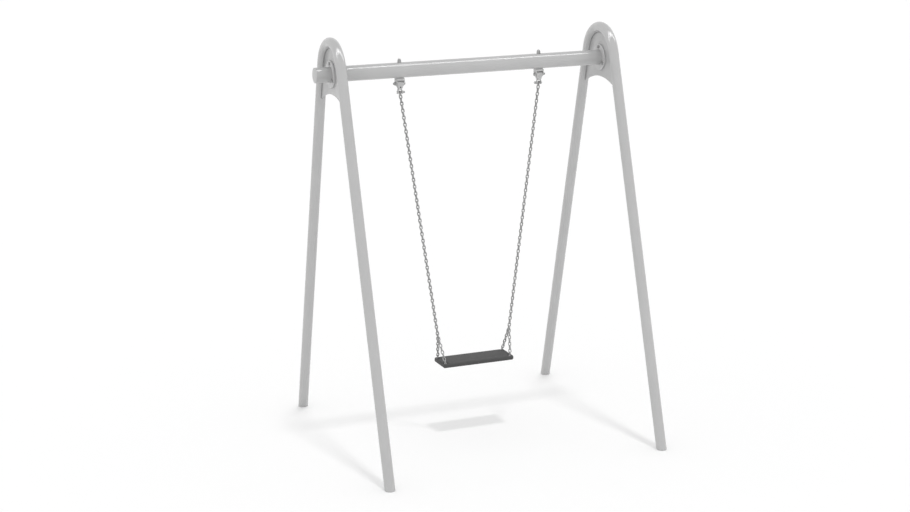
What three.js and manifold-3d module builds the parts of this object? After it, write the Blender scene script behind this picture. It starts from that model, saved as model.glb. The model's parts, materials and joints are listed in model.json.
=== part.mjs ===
// Swing set: a free-standing steel frame that carries one flat rubber seat on two chains.
//
// Millimetres. +X runs along the beam to the viewer's right, -Y is the front, +Z is up.
// The origin is on the ground, under the middle of the beam.

import * as THREE from 'three';
import { mergeVertices } from 'three/addons/utils/BufferGeometryUtils.js';
import Module from 'manifold-3d';

const wasm = await Module();
wasm.setup();

// Clearances
const FIT_GAP = 0.3;
const RUN_GAP = 0.5;
const CUT_OVERRUN = 5;

// Facets of round shapes
const LARGE_SIDES = 20;
const TUBE_SIDES = 16;
const PIVOT_SIDES = 12;
const BOLT_SIDES = 8;
const WIRE_SIDES = 6;
const STAPLE_BEND_STEPS = 3;

// End frames
const FRAME_HEIGHT = 2425;
const FRAME_SPACING = 1688;
const FOOT_SPREAD = 1660;
const LEG_DIAMETER = 60.3;
const LEG_WALL = 3.2;
const BEND_RADIUS = 180;
const BEND_STEPS = 8;

// Foot plugs
const SOLE_THICKNESS = 5;
const SPIGOT_LENGTH = 32;

// Web plates
const WEB_THICKNESS = 8;
const WEB_DEPTH_BELOW_AXIS = 115;
const WEB_ARCH_RADIUS = 430;
const WEB_ARCH_STEPS = 8;

// Cross beam and its caps
const BEAM_OVERHANG = 106;
const BEAM_DIAMETER = 88.9;
const BEAM_WALL = 4;
const CAP_RIM = 5;
const CAP_CROWN = 6;
const CAP_SPIGOT = 24;

// Flanges and their bolts
const FLANGE_RADIUS = 80;
const FLANGE_THICKNESS = 9;
const FLANGE_ROUNDING = 3;
const FLANGE_BOLT_COUNT = 3;
const FLANGE_BOLT_CIRCLE = 62;
const FLANGE_BOLT_DIAMETER = 10;
const FLANGE_BOLT_FLATS = 17;
const FLANGE_BOLT_HEAD = 6.4;
const FLANGE_NUT_HEIGHT = 8.4;
const FLANGE_BOLT_TAIL = 3;

// Saddle pads
const HANGER_SPACING = 875;
const PAD_WIDTH = 46;
const PAD_DEPTH = 26;
const PAD_THICKNESS = 3;

// Yokes
const YOKE_WIDTH = 50;
const YOKE_DEPTH = 40;
const YOKE_BLOCK_DROP = 15;
const CHEEK_THICKNESS = 5;
const CHEEK_RADIUS = 13;
const CHEEK_SHOULDER = 10;
const PIVOT_DROP = 33;

// Hanger bolts, washers and cap nuts
const HANGER_BOLT_DIAMETER = 12;
const HANGER_BOLT_FLATS = 18;
const HANGER_BOLT_HEAD = 5.5;
const HEAD_POCKET_ROOM = 0.8;
const WASHER_DIAMETER = 24;
const WASHER_THICKNESS = 2.5;
const CAP_NUT_FLATS = 19;
const CAP_NUT_HEX = 11;
const CAP_NUT_DOME_RADIUS = 8.5;
const CAP_NUT_DOME_HEIGHT = 12;
const CAP_NUT_DOME_STEPS = 3;
const CAP_NUT_BORE = 15;
const CAP_NUT_GRIP = 13;

// Pivots
const PIVOT_BOLT_DIAMETER = 10;
const PIVOT_BOLT_FLATS = 17;
const PIVOT_BOLT_HEAD = 6.4;
const PIVOT_NUT_HEIGHT = 12;
const PIVOT_BOLT_TAIL = 3;

// Pendulums
const HOUSING_RADIUS = 16;
const PENDULUM_SHOULDER_DROP = 9;
const PENDULUM_TAPER_WIDTH = 22;
const PENDULUM_TAPER_DROP = 27;
const PENDULUM_TOE_WIDTH = 12;
const PENDULUM_TOE_DROP = 33;
const FORK_ROOM = 0.6;
const CROSS_PIN_DIAMETER = 8;
const CROSS_PIN_DROP = 21;
const CROSS_PIN_RECESS = 5;
const CROSS_PIN_COVER = 4;

// Shackles
const SHACKLE_WIRE = 8;
const SHACKLE_BOW_RADIUS = 9;
const SHACKLE_BOW_STEPS = 6;
const SHACKLE_FOOT_SPREAD = 26.6;
const SHACKLE_PIN_DROP = 50.5;
const SHACKLE_PIN_DIAMETER = 8;
const SHACKLE_EAR_RADIUS = 8.5;
const SHACKLE_EAR_WIDTH = 8;
const PIN_COLLAR_RADIUS = 6.5;
const PIN_COLLAR_WIDTH = 3;
const PIN_TAB_RADIUS = 6;
const PIN_TAB_THICKNESS = 4;

// Chains
const LINK_WIRE = 6;
const LINK_PITCH = 20.78;
const LINK_BITE = 0.3;
const LINK_OUTER_WIDTH = 20.5;
const LINK_STEPS = 4;
const LINK_SIDES = 4;
const UPPER_LINK_COUNT = 72;
const JUNCTION_WIRE = 7;
const JUNCTION_LENGTH = 23.5;
const JUNCTION_OUTER_WIDTH = 27.4;
const JUNCTION_ROOM = 1.7;
const SEAT_LINK_COUNT = 8;
const SEAT_LINK_OFFSET = 3.3;

// Seat
const SEAT_LENGTH = 455;
const SEAT_DEPTH = 168;
const SEAT_THICKNESS = 27;
const SEAT_CORNER_RADIUS = 12;
const SEAT_EDGE_RADIUS = 10;
const SEAT_EDGE_STEPS = 3;
const END_ZONE_LENGTH = 38;
const END_ZONE_STEP = 1.5;
const EYE_SPACING_LENGTH = 420;
const EYE_SPACING_DEPTH = 130;

// Seat insert and its loops
const INSERT_LENGTH = 443;
const INSERT_DEPTH = 150;
const INSERT_THICKNESS = 4;
const INSERT_DROP = 15;
const LOOP_WIRE = 5;
const LOOP_SPREAD = 15;
const LOOP_BEND = 4;
const LOOP_ROOT = 1;
const LOOP_DROP = 2;
const POCKET_ROOM = 1;
const POCKET_DEPTH_REACH = 15;
const POCKET_SHIFT = 1.5;

// Places that follow from the sizes
const LEG_RADIUS = LEG_DIAMETER / 2;
const LEG_BORE_RADIUS = LEG_RADIUS - LEG_WALL;
const BEAM_RADIUS = BEAM_DIAMETER / 2;
const BEAM_LENGTH = FRAME_SPACING + 2 * BEAM_OVERHANG;
const BEAM_BORE_RADIUS = BEAM_RADIUS - BEAM_WALL;
const BEAM_AXIS_HEIGHT = FRAME_HEIGHT - BEND_RADIUS - LEG_RADIUS;
const BEND_HALF_ANGLE = bendHalfAngle();
const LEG_SPLAY = Math.PI / 2 - BEND_HALF_ANGLE;
const HANGER_BOLT_HOLE_RADIUS = HANGER_BOLT_DIAMETER / 2 + FIT_GAP;
const CHEEK_INNER = YOKE_WIDTH / 2 - CHEEK_THICKNESS;
const LINK_CROWNS = LINK_PITCH + LINK_WIRE - LINK_BITE;
const FIRST_LINK_RISE = crownHold(SHACKLE_PIN_DIAMETER / 2, RUN_GAP);
const UPPER_CHAIN_REACH = chainReach(UPPER_LINK_COUNT) - FIRST_LINK_RISE;
const JUNCTION_HOLD = crownHold(JUNCTION_WIRE / 2, FIT_GAP);
const JUNCTION_REACH = UPPER_CHAIN_REACH - JUNCTION_HOLD + JUNCTION_LENGTH;
const SEAT_LINK_RISE = crownHold(JUNCTION_WIRE / 2, JUNCTION_ROOM);
const LOOP_HOLD = crownHold(LOOP_WIRE / 2, FIT_GAP);
const SEAT_CHAIN_REACH = chainReach(SEAT_LINK_COUNT) - LOOP_HOLD;
const SEAT_CHAIN_SPLAY = Math.asin((EYE_SPACING_DEPTH / 2 - SEAT_LINK_OFFSET) / SEAT_CHAIN_REACH);
const SEAT_CHAIN_DROP = SEAT_CHAIN_REACH * Math.cos(SEAT_CHAIN_SPLAY) - SEAT_LINK_RISE;
const CHAIN_LEAN = Math.asin(
  (HANGER_SPACING - EYE_SPACING_LENGTH) / 2 / (JUNCTION_REACH + SEAT_CHAIN_DROP),
);
const SHACKLE_PIN_HEIGHT = BEAM_AXIS_HEIGHT - BEAM_RADIUS - PIVOT_DROP - SHACKLE_PIN_DROP;
const SEAT_LOOP_HEIGHT = SHACKLE_PIN_HEIGHT - (JUNCTION_REACH + SEAT_CHAIN_DROP) * Math.cos(CHAIN_LEAN);
const SEAT_TOP_HEIGHT = SEAT_LOOP_HEIGHT + LOOP_DROP;

// Axes in which flat outlines are drawn: an outline's x, y and depth become these directions
const X_AXIS = new THREE.Vector3(1, 0, 0);
const Y_AXIS = new THREE.Vector3(0, 1, 0);
const Z_AXIS = new THREE.Vector3(0, 0, 1);
const ACROSS_X = new THREE.Matrix4().makeBasis(Y_AXIS, Z_AXIS, X_AXIS);
const ACROSS_Y = new THREE.Matrix4().makeBasis(Z_AXIS, X_AXIS, Y_AXIS);

// Turns that lay what stands along Y on each axis
const TURNED_TO = {
  x: new THREE.Matrix4().makeRotationZ(-Math.PI / 2),
  y: new THREE.Matrix4(),
  z: new THREE.Matrix4().makeRotationX(Math.PI / 2),
};
const CENTRE = [0, 0, 0];

const GALVANISED = { color: 0x9a9c9e, roughness: 0.45, metalness: 0.9 };
const PAINTED_STEEL = { color: 0xb8b9ba, roughness: 0.4, metalness: 0.2 };
const GREY_PLASTIC = { color: 0xb8b9ba, roughness: 0.5, metalness: 0 };
const SEAT_RUBBER = { color: 0x4a4a4b, roughness: 0.85, metalness: 0 };

/** Angle from the top of an arch to the point where its leg starts. */
function bendHalfAngle() {
  const halfSpread = FOOT_SPREAD / 2;
  return Math.atan2(BEAM_AXIS_HEIGHT, halfSpread)
    + Math.asin(BEND_RADIUS / Math.hypot(BEAM_AXIS_HEIGHT, halfSpread));
}

/** Distance from the middle of a round bar to the middle of the link's crown that holds it. */
function crownHold(radius, gap) {
  return LINK_WIRE / 2 + radius + gap;
}

/** Distance from the first link's upper crown down to the last link's lower crown. */
function chainReach(count) {
  return LINK_CROWNS + (count - 1) * LINK_PITCH;
}

/** A closed geometry as a solid that can be cut and joined. */
function solid(geometry) {
  const bare = geometry.clone();
  bare.deleteAttribute('normal');
  bare.deleteAttribute('uv');
  const merged = mergeVertices(bare);
  return new wasm.Manifold(new wasm.Mesh({
    numProp: 3,
    vertProperties: new Float32Array(merged.attributes.position.array),
    triVerts: new Uint32Array(merged.index.array),
  }));
}

/** The solid's surface as a geometry with flat faces. */
function surface(body) {
  const mesh = body.getMesh();
  const geometry = new THREE.BufferGeometry();
  geometry.setAttribute('position', new THREE.BufferAttribute(mesh.vertProperties, 3));
  geometry.setIndex(new THREE.BufferAttribute(mesh.triVerts, 1));
  geometry.computeVertexNormals();
  return geometry;
}

/** One solid less the others. */
function cut(body, ...tools) {
  return tools.reduce((rest, tool) => rest.subtract(tool), body);
}

/** Several solids as one. */
function join(...bodies) {
  return bodies.reduce((whole, body) => whole.add(body));
}

/** A box centred at a place. */
function block(width, depth, height, at = CENTRE) {
  return solid(new THREE.BoxGeometry(width, depth, height).translate(...at));
}

/** A bar with a regular section along an axis, centred at a place. */
function bar(axis, radius, length, at = CENTRE, sides = BOLT_SIDES) {
  const upright = new THREE.CylinderGeometry(radius, radius, length, sides);
  return solid(upright.applyMatrix4(TURNED_TO[axis]).translate(...at));
}

/** A hexagon bar along an axis, centred at a place. */
function hexBar(axis, flats, length, at = CENTRE) {
  return bar(axis, flats / Math.sqrt(3), length, at, 6);
}

/** A flat outline given a thickness, centred on its plane and turned into the given axes. */
function slab(outline, thickness, axes) {
  const flat = new THREE.ExtrudeGeometry(outline, { depth: thickness, bevelEnabled: false });
  return solid(flat.translate(0, 0, -thickness / 2).applyMatrix4(axes));
}

/** A turned piece round an axis, from a profile of [radius, distance along the axis] points. */
function turned(axis, profile, sides) {
  const points = profile.map(([radius, along]) => new THREE.Vector2(radius, along));
  return solid(new THREE.LatheGeometry(points, sides).applyMatrix4(TURNED_TO[axis]));
}

/** A path through stations, whose sections stand square to the middle of each bend. */
class StationPath extends THREE.Curve {
  constructor(stations) {
    super();
    this.stations = stations;
  }

  getPoint(t, target = new THREE.Vector3()) {
    const place = t * (this.stations.length - 1);
    const index = Math.min(Math.floor(place), this.stations.length - 2);
    return target.lerpVectors(this.stations[index], this.stations[index + 1], place - index);
  }

  getPointAt(u, target) {
    return this.getPoint(u, target);
  }

  getTangentAt(u, target = new THREE.Vector3()) {
    const last = this.stations.length - 1;
    const index = Math.round(u * last);
    const before = Math.max(index - 1, 0);
    const after = Math.min(index, last - 1);
    const arriving = this.runDirection(before);
    return target.copy(arriving).add(this.runDirection(after)).normalize();
  }

  runDirection(index) {
    return this.stations[index + 1].clone().sub(this.stations[index]).normalize();
  }
}

/** A ring section, or a full round one where the bore is zero. */
function roundSection(radius, bore) {
  const section = new THREE.Shape();
  section.absarc(0, 0, radius, 0, 2 * Math.PI);
  if (bore > 0) {
    const hole = new THREE.Path();
    hole.absarc(0, 0, bore, 0, 2 * Math.PI);
    section.holes.push(hole);
  }
  return section;
}

/** A bar or tube that follows stations. */
function bentBar(stations, radius, bore, sides) {
  return solid(new THREE.ExtrudeGeometry(roundSection(radius, bore), {
    steps: stations.length - 1,
    curveSegments: sides / 2,
    extrudePath: new StationPath(stations),
  }));
}

/** Angles at even steps from one end to the other. */
function evenAngles(start, end, steps) {
  return Array.from({ length: steps + 1 }, (_, index) => start + (end - start) * index / steps);
}

/** Stations of an upside-down U in the plane Y = 0: half its width, its top, its feet and its bends. */
function stapleStations(halfWidth, top, bottom, bend) {
  const corner = (side) => evenAngles(0, Math.PI / 2, STAPLE_BEND_STEPS).map((angle) => (
    new THREE.Vector3(
      side * (halfWidth - bend * (1 - Math.cos(angle))),
      0,
      top - bend * (1 - Math.sin(angle)),
    )));
  const foot = (side) => new THREE.Vector3(side * halfWidth, 0, bottom);
  return [foot(-1), ...corner(-1), ...corner(1).reverse(), foot(1)];
}

/** Stations of a bow in the plane Y = 0: its radius and top, and half the spread and height of its feet. */
function bowStations(radius, top, halfSpread, bottom) {
  const middle = top - radius;
  const drop = middle - bottom;
  const lean = Math.atan2(halfSpread, drop) - Math.asin(radius / Math.hypot(halfSpread, drop));
  const foot = (side) => new THREE.Vector3(side * halfSpread, 0, bottom);
  const crown = evenAngles(Math.PI + lean, -lean, SHACKLE_BOW_STEPS).map((angle) => (
    new THREE.Vector3(radius * Math.cos(angle), 0, middle + radius * Math.sin(angle))));
  return [foot(-1), ...crown, foot(1)];
}

/** A mesh with its name, its surface and its own material. */
function piece(name, body, finish) {
  const mesh = new THREE.Mesh(surface(body), new THREE.MeshStandardMaterial(finish));
  mesh.name = name;
  return mesh;
}

// End frames

/** The bent tube of one end frame, in the plane X = 0, with its feet cut level. */
function endFrameTube() {
  const footOverrun = LEG_DIAMETER;
  const foot = (side) => new THREE.Vector3(
    0,
    side * (FOOT_SPREAD / 2 + footOverrun * Math.sin(LEG_SPLAY)),
    -footOverrun * Math.cos(LEG_SPLAY),
  );
  const arch = evenAngles(-BEND_HALF_ANGLE, BEND_HALF_ANGLE, BEND_STEPS).map((angle) => (
    new THREE.Vector3(
      0,
      BEND_RADIUS * Math.sin(angle),
      BEAM_AXIS_HEIGHT + BEND_RADIUS * Math.cos(angle),
    )));
  const tube = bentBar([foot(-1), ...arch, foot(1)], LEG_RADIUS, LEG_BORE_RADIUS, TUBE_SIDES);
  const bottom = SOLE_THICKNESS + FIT_GAP;
  const cutHeight = 2 * footOverrun + bottom;
  const ground = block(2 * LEG_DIAMETER, 2 * FOOT_SPREAD, cutHeight, [0, 0, bottom - cutHeight / 2]);
  return cut(tube, ground);
}

/** The plug of one leg, about the foot's centre on the ground; side is -1 in front, 1 behind. */
function footPlug(side) {
  const reach = 2 * (SPIGOT_LENGTH + LEG_DIAMETER);
  const alongLeg = (radius) => {
    const upright = new THREE.CylinderGeometry(radius, radius, reach, TUBE_SIDES);
    return solid(upright.rotateX(Math.PI / 2 + side * LEG_SPLAY));
  };
  const wide = 2 * LEG_DIAMETER;
  const soleSlab = block(wide, wide, SOLE_THICKNESS, [0, 0, SOLE_THICKNESS / 2]);
  const spigotSlab = block(wide, wide, SPIGOT_LENGTH, [0, 0, (SOLE_THICKNESS + SPIGOT_LENGTH) / 2]);
  const sole = alongLeg(LEG_RADIUS).intersect(soleSlab);
  const spigot = alongLeg(LEG_BORE_RADIUS - FIT_GAP).intersect(spigotSlab);
  return join(sole, spigot);
}

/** The plate inside the arch: it follows the tube above and has a concave arch below. */
function webPlate() {
  const rim = BEND_RADIUS - LEG_RADIUS - FIT_GAP;
  const archCentre = -WEB_DEPTH_BELOW_AXIS - WEB_ARCH_RADIUS;
  const legFoot = lowerWebCorner(rim, archCentre);
  const outline = new THREE.Shape();
  evenAngles(-BEND_HALF_ANGLE, BEND_HALF_ANGLE, BEND_STEPS).forEach((angle, index) => {
    const place = [rim * Math.sin(angle), rim * Math.cos(angle)];
    if (index === 0) {
      outline.moveTo(...place);
    } else {
      outline.lineTo(...place);
    }
  });
  const sweep = Math.asin(legFoot / WEB_ARCH_RADIUS);
  evenAngles(sweep, -sweep, WEB_ARCH_STEPS).forEach((angle) => {
    outline.lineTo(WEB_ARCH_RADIUS * Math.sin(angle), archCentre + WEB_ARCH_RADIUS * Math.cos(angle));
  });
  const through = WEB_THICKNESS + CUT_OVERRUN;
  const beamHole = bar('x', BEAM_RADIUS + FIT_GAP, through, CENTRE, LARGE_SIDES);
  return cut(slab(outline, WEB_THICKNESS, ACROSS_X), beamHole, ...flangeBoltHoles(through));
}

/** Half width of the web where its lower arch meets the line of the leg. */
function lowerWebCorner(rim, archCentre) {
  const startY = rim * Math.sin(BEND_HALF_ANGLE);
  const startZ = rim * Math.cos(BEND_HALF_ANGLE);
  const alongY = Math.cos(BEND_HALF_ANGLE);
  const alongZ = -Math.sin(BEND_HALF_ANGLE);
  const offsetZ = startZ - archCentre;
  const half = startY * alongY + offsetZ * alongZ;
  const rest = startY ** 2 + offsetZ ** 2 - WEB_ARCH_RADIUS ** 2;
  const travel = -half - Math.sqrt(half ** 2 - rest);
  return startY + travel * alongY;
}

/** Places [y, z] of the flange bolts round the beam, the first one on top. */
function flangeBoltPlaces() {
  return Array.from({ length: FLANGE_BOLT_COUNT }, (_, index) => {
    const angle = 2 * Math.PI * index / FLANGE_BOLT_COUNT;
    return [FLANGE_BOLT_CIRCLE * Math.sin(angle), FLANGE_BOLT_CIRCLE * Math.cos(angle)];
  });
}

/** The holes of the flange bolts, centred on the plane X = 0. */
function flangeBoltHoles(length) {
  return flangeBoltPlaces().map(([y, z]) => bar('x', FLANGE_BOLT_DIAMETER / 2 + FIT_GAP, length, [0, y, z]));
}

/** A flange, its flat back at x = 0 and its rounded face towards +X. */
function flange() {
  const bore = BEAM_RADIUS + FIT_GAP;
  const body = turned('x', [
    [bore, 0],
    [FLANGE_RADIUS, 0],
    [FLANGE_RADIUS, FLANGE_THICKNESS - FLANGE_ROUNDING],
    [FLANGE_RADIUS - FLANGE_ROUNDING, FLANGE_THICKNESS],
    [bore, FLANGE_THICKNESS],
    [bore, 0],
  ], LARGE_SIDES);
  return cut(body, ...flangeBoltHoles(2 * FLANGE_THICKNESS + CUT_OVERRUN));
}

/** Distance from the web's middle plane to the outer face of a flange. */
function flangeFace() {
  return WEB_THICKNESS / 2 + FIT_GAP + FLANGE_THICKNESS;
}

/** A flange bolt: the head lies beyond the flange face at -X, the shank runs towards +X. */
function flangeBolt() {
  const headStart = -flangeFace() - FIT_GAP;
  const shankEnd = flangeFace() + FIT_GAP + FLANGE_NUT_HEIGHT + FLANGE_BOLT_TAIL;
  const shankLength = shankEnd - headStart + FLANGE_BOLT_HEAD / 2;
  return join(
    hexBar('x', FLANGE_BOLT_FLATS, FLANGE_BOLT_HEAD, [headStart - FLANGE_BOLT_HEAD / 2, 0, 0]),
    bar('x', FLANGE_BOLT_DIAMETER / 2, shankLength, [shankEnd - shankLength / 2, 0, 0]),
  );
}

/** The nut of a flange bolt, beyond the flange face at +X. */
function flangeNut() {
  const middle = [flangeFace() + FIT_GAP + FLANGE_NUT_HEIGHT / 2, 0, 0];
  return cut(
    hexBar('x', FLANGE_BOLT_FLATS, FLANGE_NUT_HEIGHT, middle),
    bar('x', FLANGE_BOLT_DIAMETER / 2 + FIT_GAP, FLANGE_NUT_HEIGHT + CUT_OVERRUN, middle),
  );
}

/** One end frame with its plate, flanges, bolts and plugs; outward is -1 left and 1 right. */
function endFrame(side, outward) {
  const group = new THREE.Group();
  group.position.x = outward * FRAME_SPACING / 2;
  group.add(piece(`end_frame_${side}`, endFrameTube(), PAINTED_STEEL));
  for (const [place, along] of [['front', -1], ['back', 1]]) {
    const plug = piece(`foot_plug_${side}_${place}`, footPlug(along), GREY_PLASTIC);
    plug.position.y = along * FOOT_SPREAD / 2;
    group.add(plug);
  }
  const head = new THREE.Group();
  head.position.z = BEAM_AXIS_HEIGHT;
  head.rotation.z = outward > 0 ? Math.PI : 0;
  head.add(piece(`web_plate_${side}`, webPlate(), PAINTED_STEEL));
  for (const [face, turn] of [['inner', 0], ['outer', Math.PI]]) {
    const ring = piece(`flange_${side}_${face}`, flange(), PAINTED_STEEL);
    ring.position.x = (turn > 0 ? -1 : 1) * (WEB_THICKNESS / 2 + FIT_GAP);
    ring.rotation.z = turn;
    head.add(ring);
  }
  flangeBoltPlaces().forEach(([y, z], index) => {
    const bolt = piece(`flange_bolt_${side}_${index + 1}`, flangeBolt(), GALVANISED);
    const nut = piece(`flange_nut_${side}_${index + 1}`, flangeNut(), GALVANISED);
    bolt.position.set(0, y, z);
    nut.position.set(0, y, z);
    head.add(bolt, nut);
  });
  group.add(head);
  return group;
}

// Cross beam

/** The beam's tube, with a hole from top to bottom for each hanger bolt. */
function crossBeam() {
  const length = BEAM_LENGTH - 2 * (CAP_CROWN + FIT_GAP);
  const holes = [-1, 1].map((side) => (
    bar('z', HANGER_BOLT_HOLE_RADIUS, BEAM_DIAMETER + CUT_OVERRUN, [side * HANGER_SPACING / 2, 0, 0])));
  return cut(
    bar('x', BEAM_RADIUS, length, CENTRE, LARGE_SIDES),
    bar('x', BEAM_BORE_RADIUS, length + CUT_OVERRUN, CENTRE, LARGE_SIDES),
    ...holes,
  );
}

/** The cap of one end of the beam, its rim's back at x = 0 and its crown towards +X. */
function beamCap() {
  const spigot = BEAM_BORE_RADIUS - FIT_GAP;
  return turned('x', [
    [0, -CAP_SPIGOT],
    [spigot, -CAP_SPIGOT],
    [spigot, 0],
    [BEAM_RADIUS, 0],
    [BEAM_RADIUS, CAP_RIM / 2],
    [BEAM_RADIUS - CAP_RIM / 2, CAP_RIM],
    [0, CAP_CROWN],
  ], LARGE_SIDES);
}

// Hangers, about the beam's axis, with the outer side towards -X

/** The pad between the beam and the yoke, hollowed to the beam. */
function saddlePad() {
  const bottom = -BEAM_RADIUS - PAD_THICKNESS;
  const height = PAD_THICKNESS + BEAM_RADIUS - Math.sqrt(BEAM_RADIUS ** 2 - (PAD_DEPTH / 2) ** 2);
  return cut(
    block(PAD_WIDTH, PAD_DEPTH, height, [0, 0, bottom + height / 2]),
    bar('x', BEAM_RADIUS + FIT_GAP, PAD_WIDTH + CUT_OVERRUN, CENTRE, LARGE_SIDES),
    bar('z', HANGER_BOLT_HOLE_RADIUS, 2 * BEAM_DIAMETER),
  );
}

/** The yoke: a block under the pad with a cheek at each end that carries the pivot bolt. */
function hangerYoke() {
  const top = -BEAM_RADIUS - PAD_THICKNESS - FIT_GAP;
  const blockBottom = -BEAM_RADIUS - YOKE_BLOCK_DROP;
  const pivot = -BEAM_RADIUS - PIVOT_DROP;
  const side = YOKE_DEPTH / 2;
  const outline = new THREE.Shape();
  outline.moveTo(-side, top);
  outline.lineTo(-side, blockBottom - CHEEK_SHOULDER);
  evenAngles(-Math.PI, 0, PIVOT_SIDES / 2).forEach((angle) => {
    outline.lineTo(CHEEK_RADIUS * Math.cos(angle), pivot + CHEEK_RADIUS * Math.sin(angle));
  });
  outline.lineTo(side, blockBottom - CHEEK_SHOULDER);
  outline.lineTo(side, top);
  const slotHeight = PIVOT_DROP + CHEEK_RADIUS - YOKE_BLOCK_DROP + CUT_OVERRUN;
  const slotMiddle = [0, 0, blockBottom - slotHeight / 2];
  const pocketRadius = HANGER_BOLT_FLATS / Math.sqrt(3) + HEAD_POCKET_ROOM;
  const pocketDepth = HANGER_BOLT_HEAD + HEAD_POCKET_ROOM + FIT_GAP;
  const pivotHole = PIVOT_BOLT_DIAMETER / 2 + FIT_GAP;
  return cut(
    slab(outline, YOKE_WIDTH, ACROSS_X),
    block(2 * CHEEK_INNER, YOKE_DEPTH + CUT_OVERRUN, slotHeight, slotMiddle),
    bar('x', pivotHole, YOKE_WIDTH + CUT_OVERRUN, [0, 0, pivot], PIVOT_SIDES),
    bar('z', HANGER_BOLT_HOLE_RADIUS, 2 * YOKE_DEPTH, [0, 0, top]),
    bar('z', pocketRadius, 2 * pocketDepth, [0, 0, blockBottom], PIVOT_SIDES),
  );
}

/** The bolt that holds a hanger to the beam: its head sits in the yoke's pocket. */
function hangerBolt() {
  const headBottom = -BEAM_RADIUS - YOKE_BLOCK_DROP + HEAD_POCKET_ROOM;
  const top = BEAM_RADIUS + WASHER_THICKNESS + 2 * FIT_GAP + CAP_NUT_GRIP;
  const headMiddle = headBottom + HANGER_BOLT_HEAD / 2;
  return join(
    hexBar('z', HANGER_BOLT_FLATS, HANGER_BOLT_HEAD, [0, 0, headMiddle]),
    bar('z', HANGER_BOLT_DIAMETER / 2, top - headMiddle, [0, 0, (top + headMiddle) / 2]),
  );
}

/** The washer on top of the beam. */
function hangerWasher() {
  const middle = [0, 0, BEAM_RADIUS + FIT_GAP + WASHER_THICKNESS / 2];
  return cut(
    bar('z', WASHER_DIAMETER / 2, WASHER_THICKNESS, middle, TUBE_SIDES),
    bar('z', HANGER_BOLT_HOLE_RADIUS, WASHER_THICKNESS + CUT_OVERRUN, middle),
  );
}

/** The domed nut on top of the washer. */
function capNut() {
  const base = BEAM_RADIUS + WASHER_THICKNESS + 2 * FIT_GAP;
  const hexMiddle = base + CAP_NUT_HEX / 2;
  const dome = evenAngles(0, Math.PI / 2, CAP_NUT_DOME_STEPS).map((angle) => [
    CAP_NUT_DOME_RADIUS * Math.cos(angle),
    base + CAP_NUT_HEX + CAP_NUT_DOME_HEIGHT * Math.sin(angle),
  ]);
  dome[CAP_NUT_DOME_STEPS][0] = 0;
  const profile = [[0, hexMiddle], [CAP_NUT_DOME_RADIUS, hexMiddle], ...dome];
  return cut(
    join(hexBar('z', CAP_NUT_FLATS, CAP_NUT_HEX, [0, 0, hexMiddle]), turned('z', profile, PIVOT_SIDES)),
    bar('z', HANGER_BOLT_HOLE_RADIUS, 2 * CAP_NUT_BORE, [0, 0, base]),
  );
}

// Pivots and pendulums, about the pivot's axis

/** The pivot bolt: its head lies beyond the inner cheek. */
function pivotBolt() {
  const headStart = YOKE_WIDTH / 2 + FIT_GAP;
  const shankEnd = headStart + PIVOT_NUT_HEIGHT + PIVOT_BOLT_TAIL;
  const shankLength = shankEnd + headStart + PIVOT_BOLT_HEAD / 2;
  return join(
    hexBar('x', PIVOT_BOLT_FLATS, PIVOT_BOLT_HEAD, [headStart + PIVOT_BOLT_HEAD / 2, 0, 0]),
    bar('x', PIVOT_BOLT_DIAMETER / 2, shankLength, [shankLength / 2 - shankEnd, 0, 0], PIVOT_SIDES),
  );
}

/** The pivot bolt's nut, beyond the outer cheek. */
function pivotNut() {
  const middle = [-YOKE_WIDTH / 2 - FIT_GAP - PIVOT_NUT_HEIGHT / 2, 0, 0];
  const bore = PIVOT_BOLT_DIAMETER / 2 + FIT_GAP;
  return cut(
    hexBar('x', PIVOT_BOLT_FLATS, PIVOT_NUT_HEIGHT, middle),
    bar('x', bore, PIVOT_NUT_HEIGHT + CUT_OVERRUN, middle, PIVOT_SIDES),
  );
}

/** Height of the shackle's top above the pivot, where it rests on the cross pin. */
function shackleTop() {
  return -CROSS_PIN_DROP + CROSS_PIN_DIAMETER / 2 + FIT_GAP + SHACKLE_WIRE / 2;
}

/** The pendulum: a housing on the pivot bolt that tapers to a fork round the shackle's bow. */
function pendulum() {
  const waist = CHEEK_INNER - RUN_GAP;
  const taper = PENDULUM_TAPER_WIDTH / 2;
  const toe = PENDULUM_TOE_WIDTH / 2;
  const outline = new THREE.Shape();
  outline.moveTo(0, -waist);
  outline.lineTo(0, waist);
  outline.lineTo(-PENDULUM_SHOULDER_DROP, waist);
  outline.lineTo(-PENDULUM_TAPER_DROP, taper);
  outline.lineTo(-PENDULUM_TOE_DROP, toe);
  outline.lineTo(-PENDULUM_TOE_DROP, -toe);
  outline.lineTo(-PENDULUM_TAPER_DROP, -taper);
  outline.lineTo(-PENDULUM_SHOULDER_DROP, -waist);
  const forkTop = shackleTop() + SHACKLE_WIRE / 2 + RUN_GAP;
  const forkHeight = forkTop + PENDULUM_TOE_DROP + CUT_OVERRUN;
  const forkWidth = SHACKLE_WIRE + 2 * FORK_ROOM;
  const pinEnd = HOUSING_RADIUS - CROSS_PIN_COVER + FIT_GAP;
  const boreLength = 2 * HOUSING_RADIUS;
  const boreMiddle = [0, pinEnd - boreLength / 2, -CROSS_PIN_DROP];
  return cut(
    join(bar('x', HOUSING_RADIUS, 2 * waist, CENTRE, TUBE_SIDES), slab(outline, 2 * HOUSING_RADIUS, ACROSS_Y)),
    bar('x', PIVOT_BOLT_DIAMETER / 2 + FIT_GAP, YOKE_WIDTH, CENTRE, PIVOT_SIDES),
    block(YOKE_WIDTH, forkWidth, forkHeight, [0, 0, forkTop - forkHeight / 2]),
    bar('y', CROSS_PIN_DIAMETER / 2 + FIT_GAP, boreLength, boreMiddle, PIVOT_SIDES),
  );
}

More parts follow.
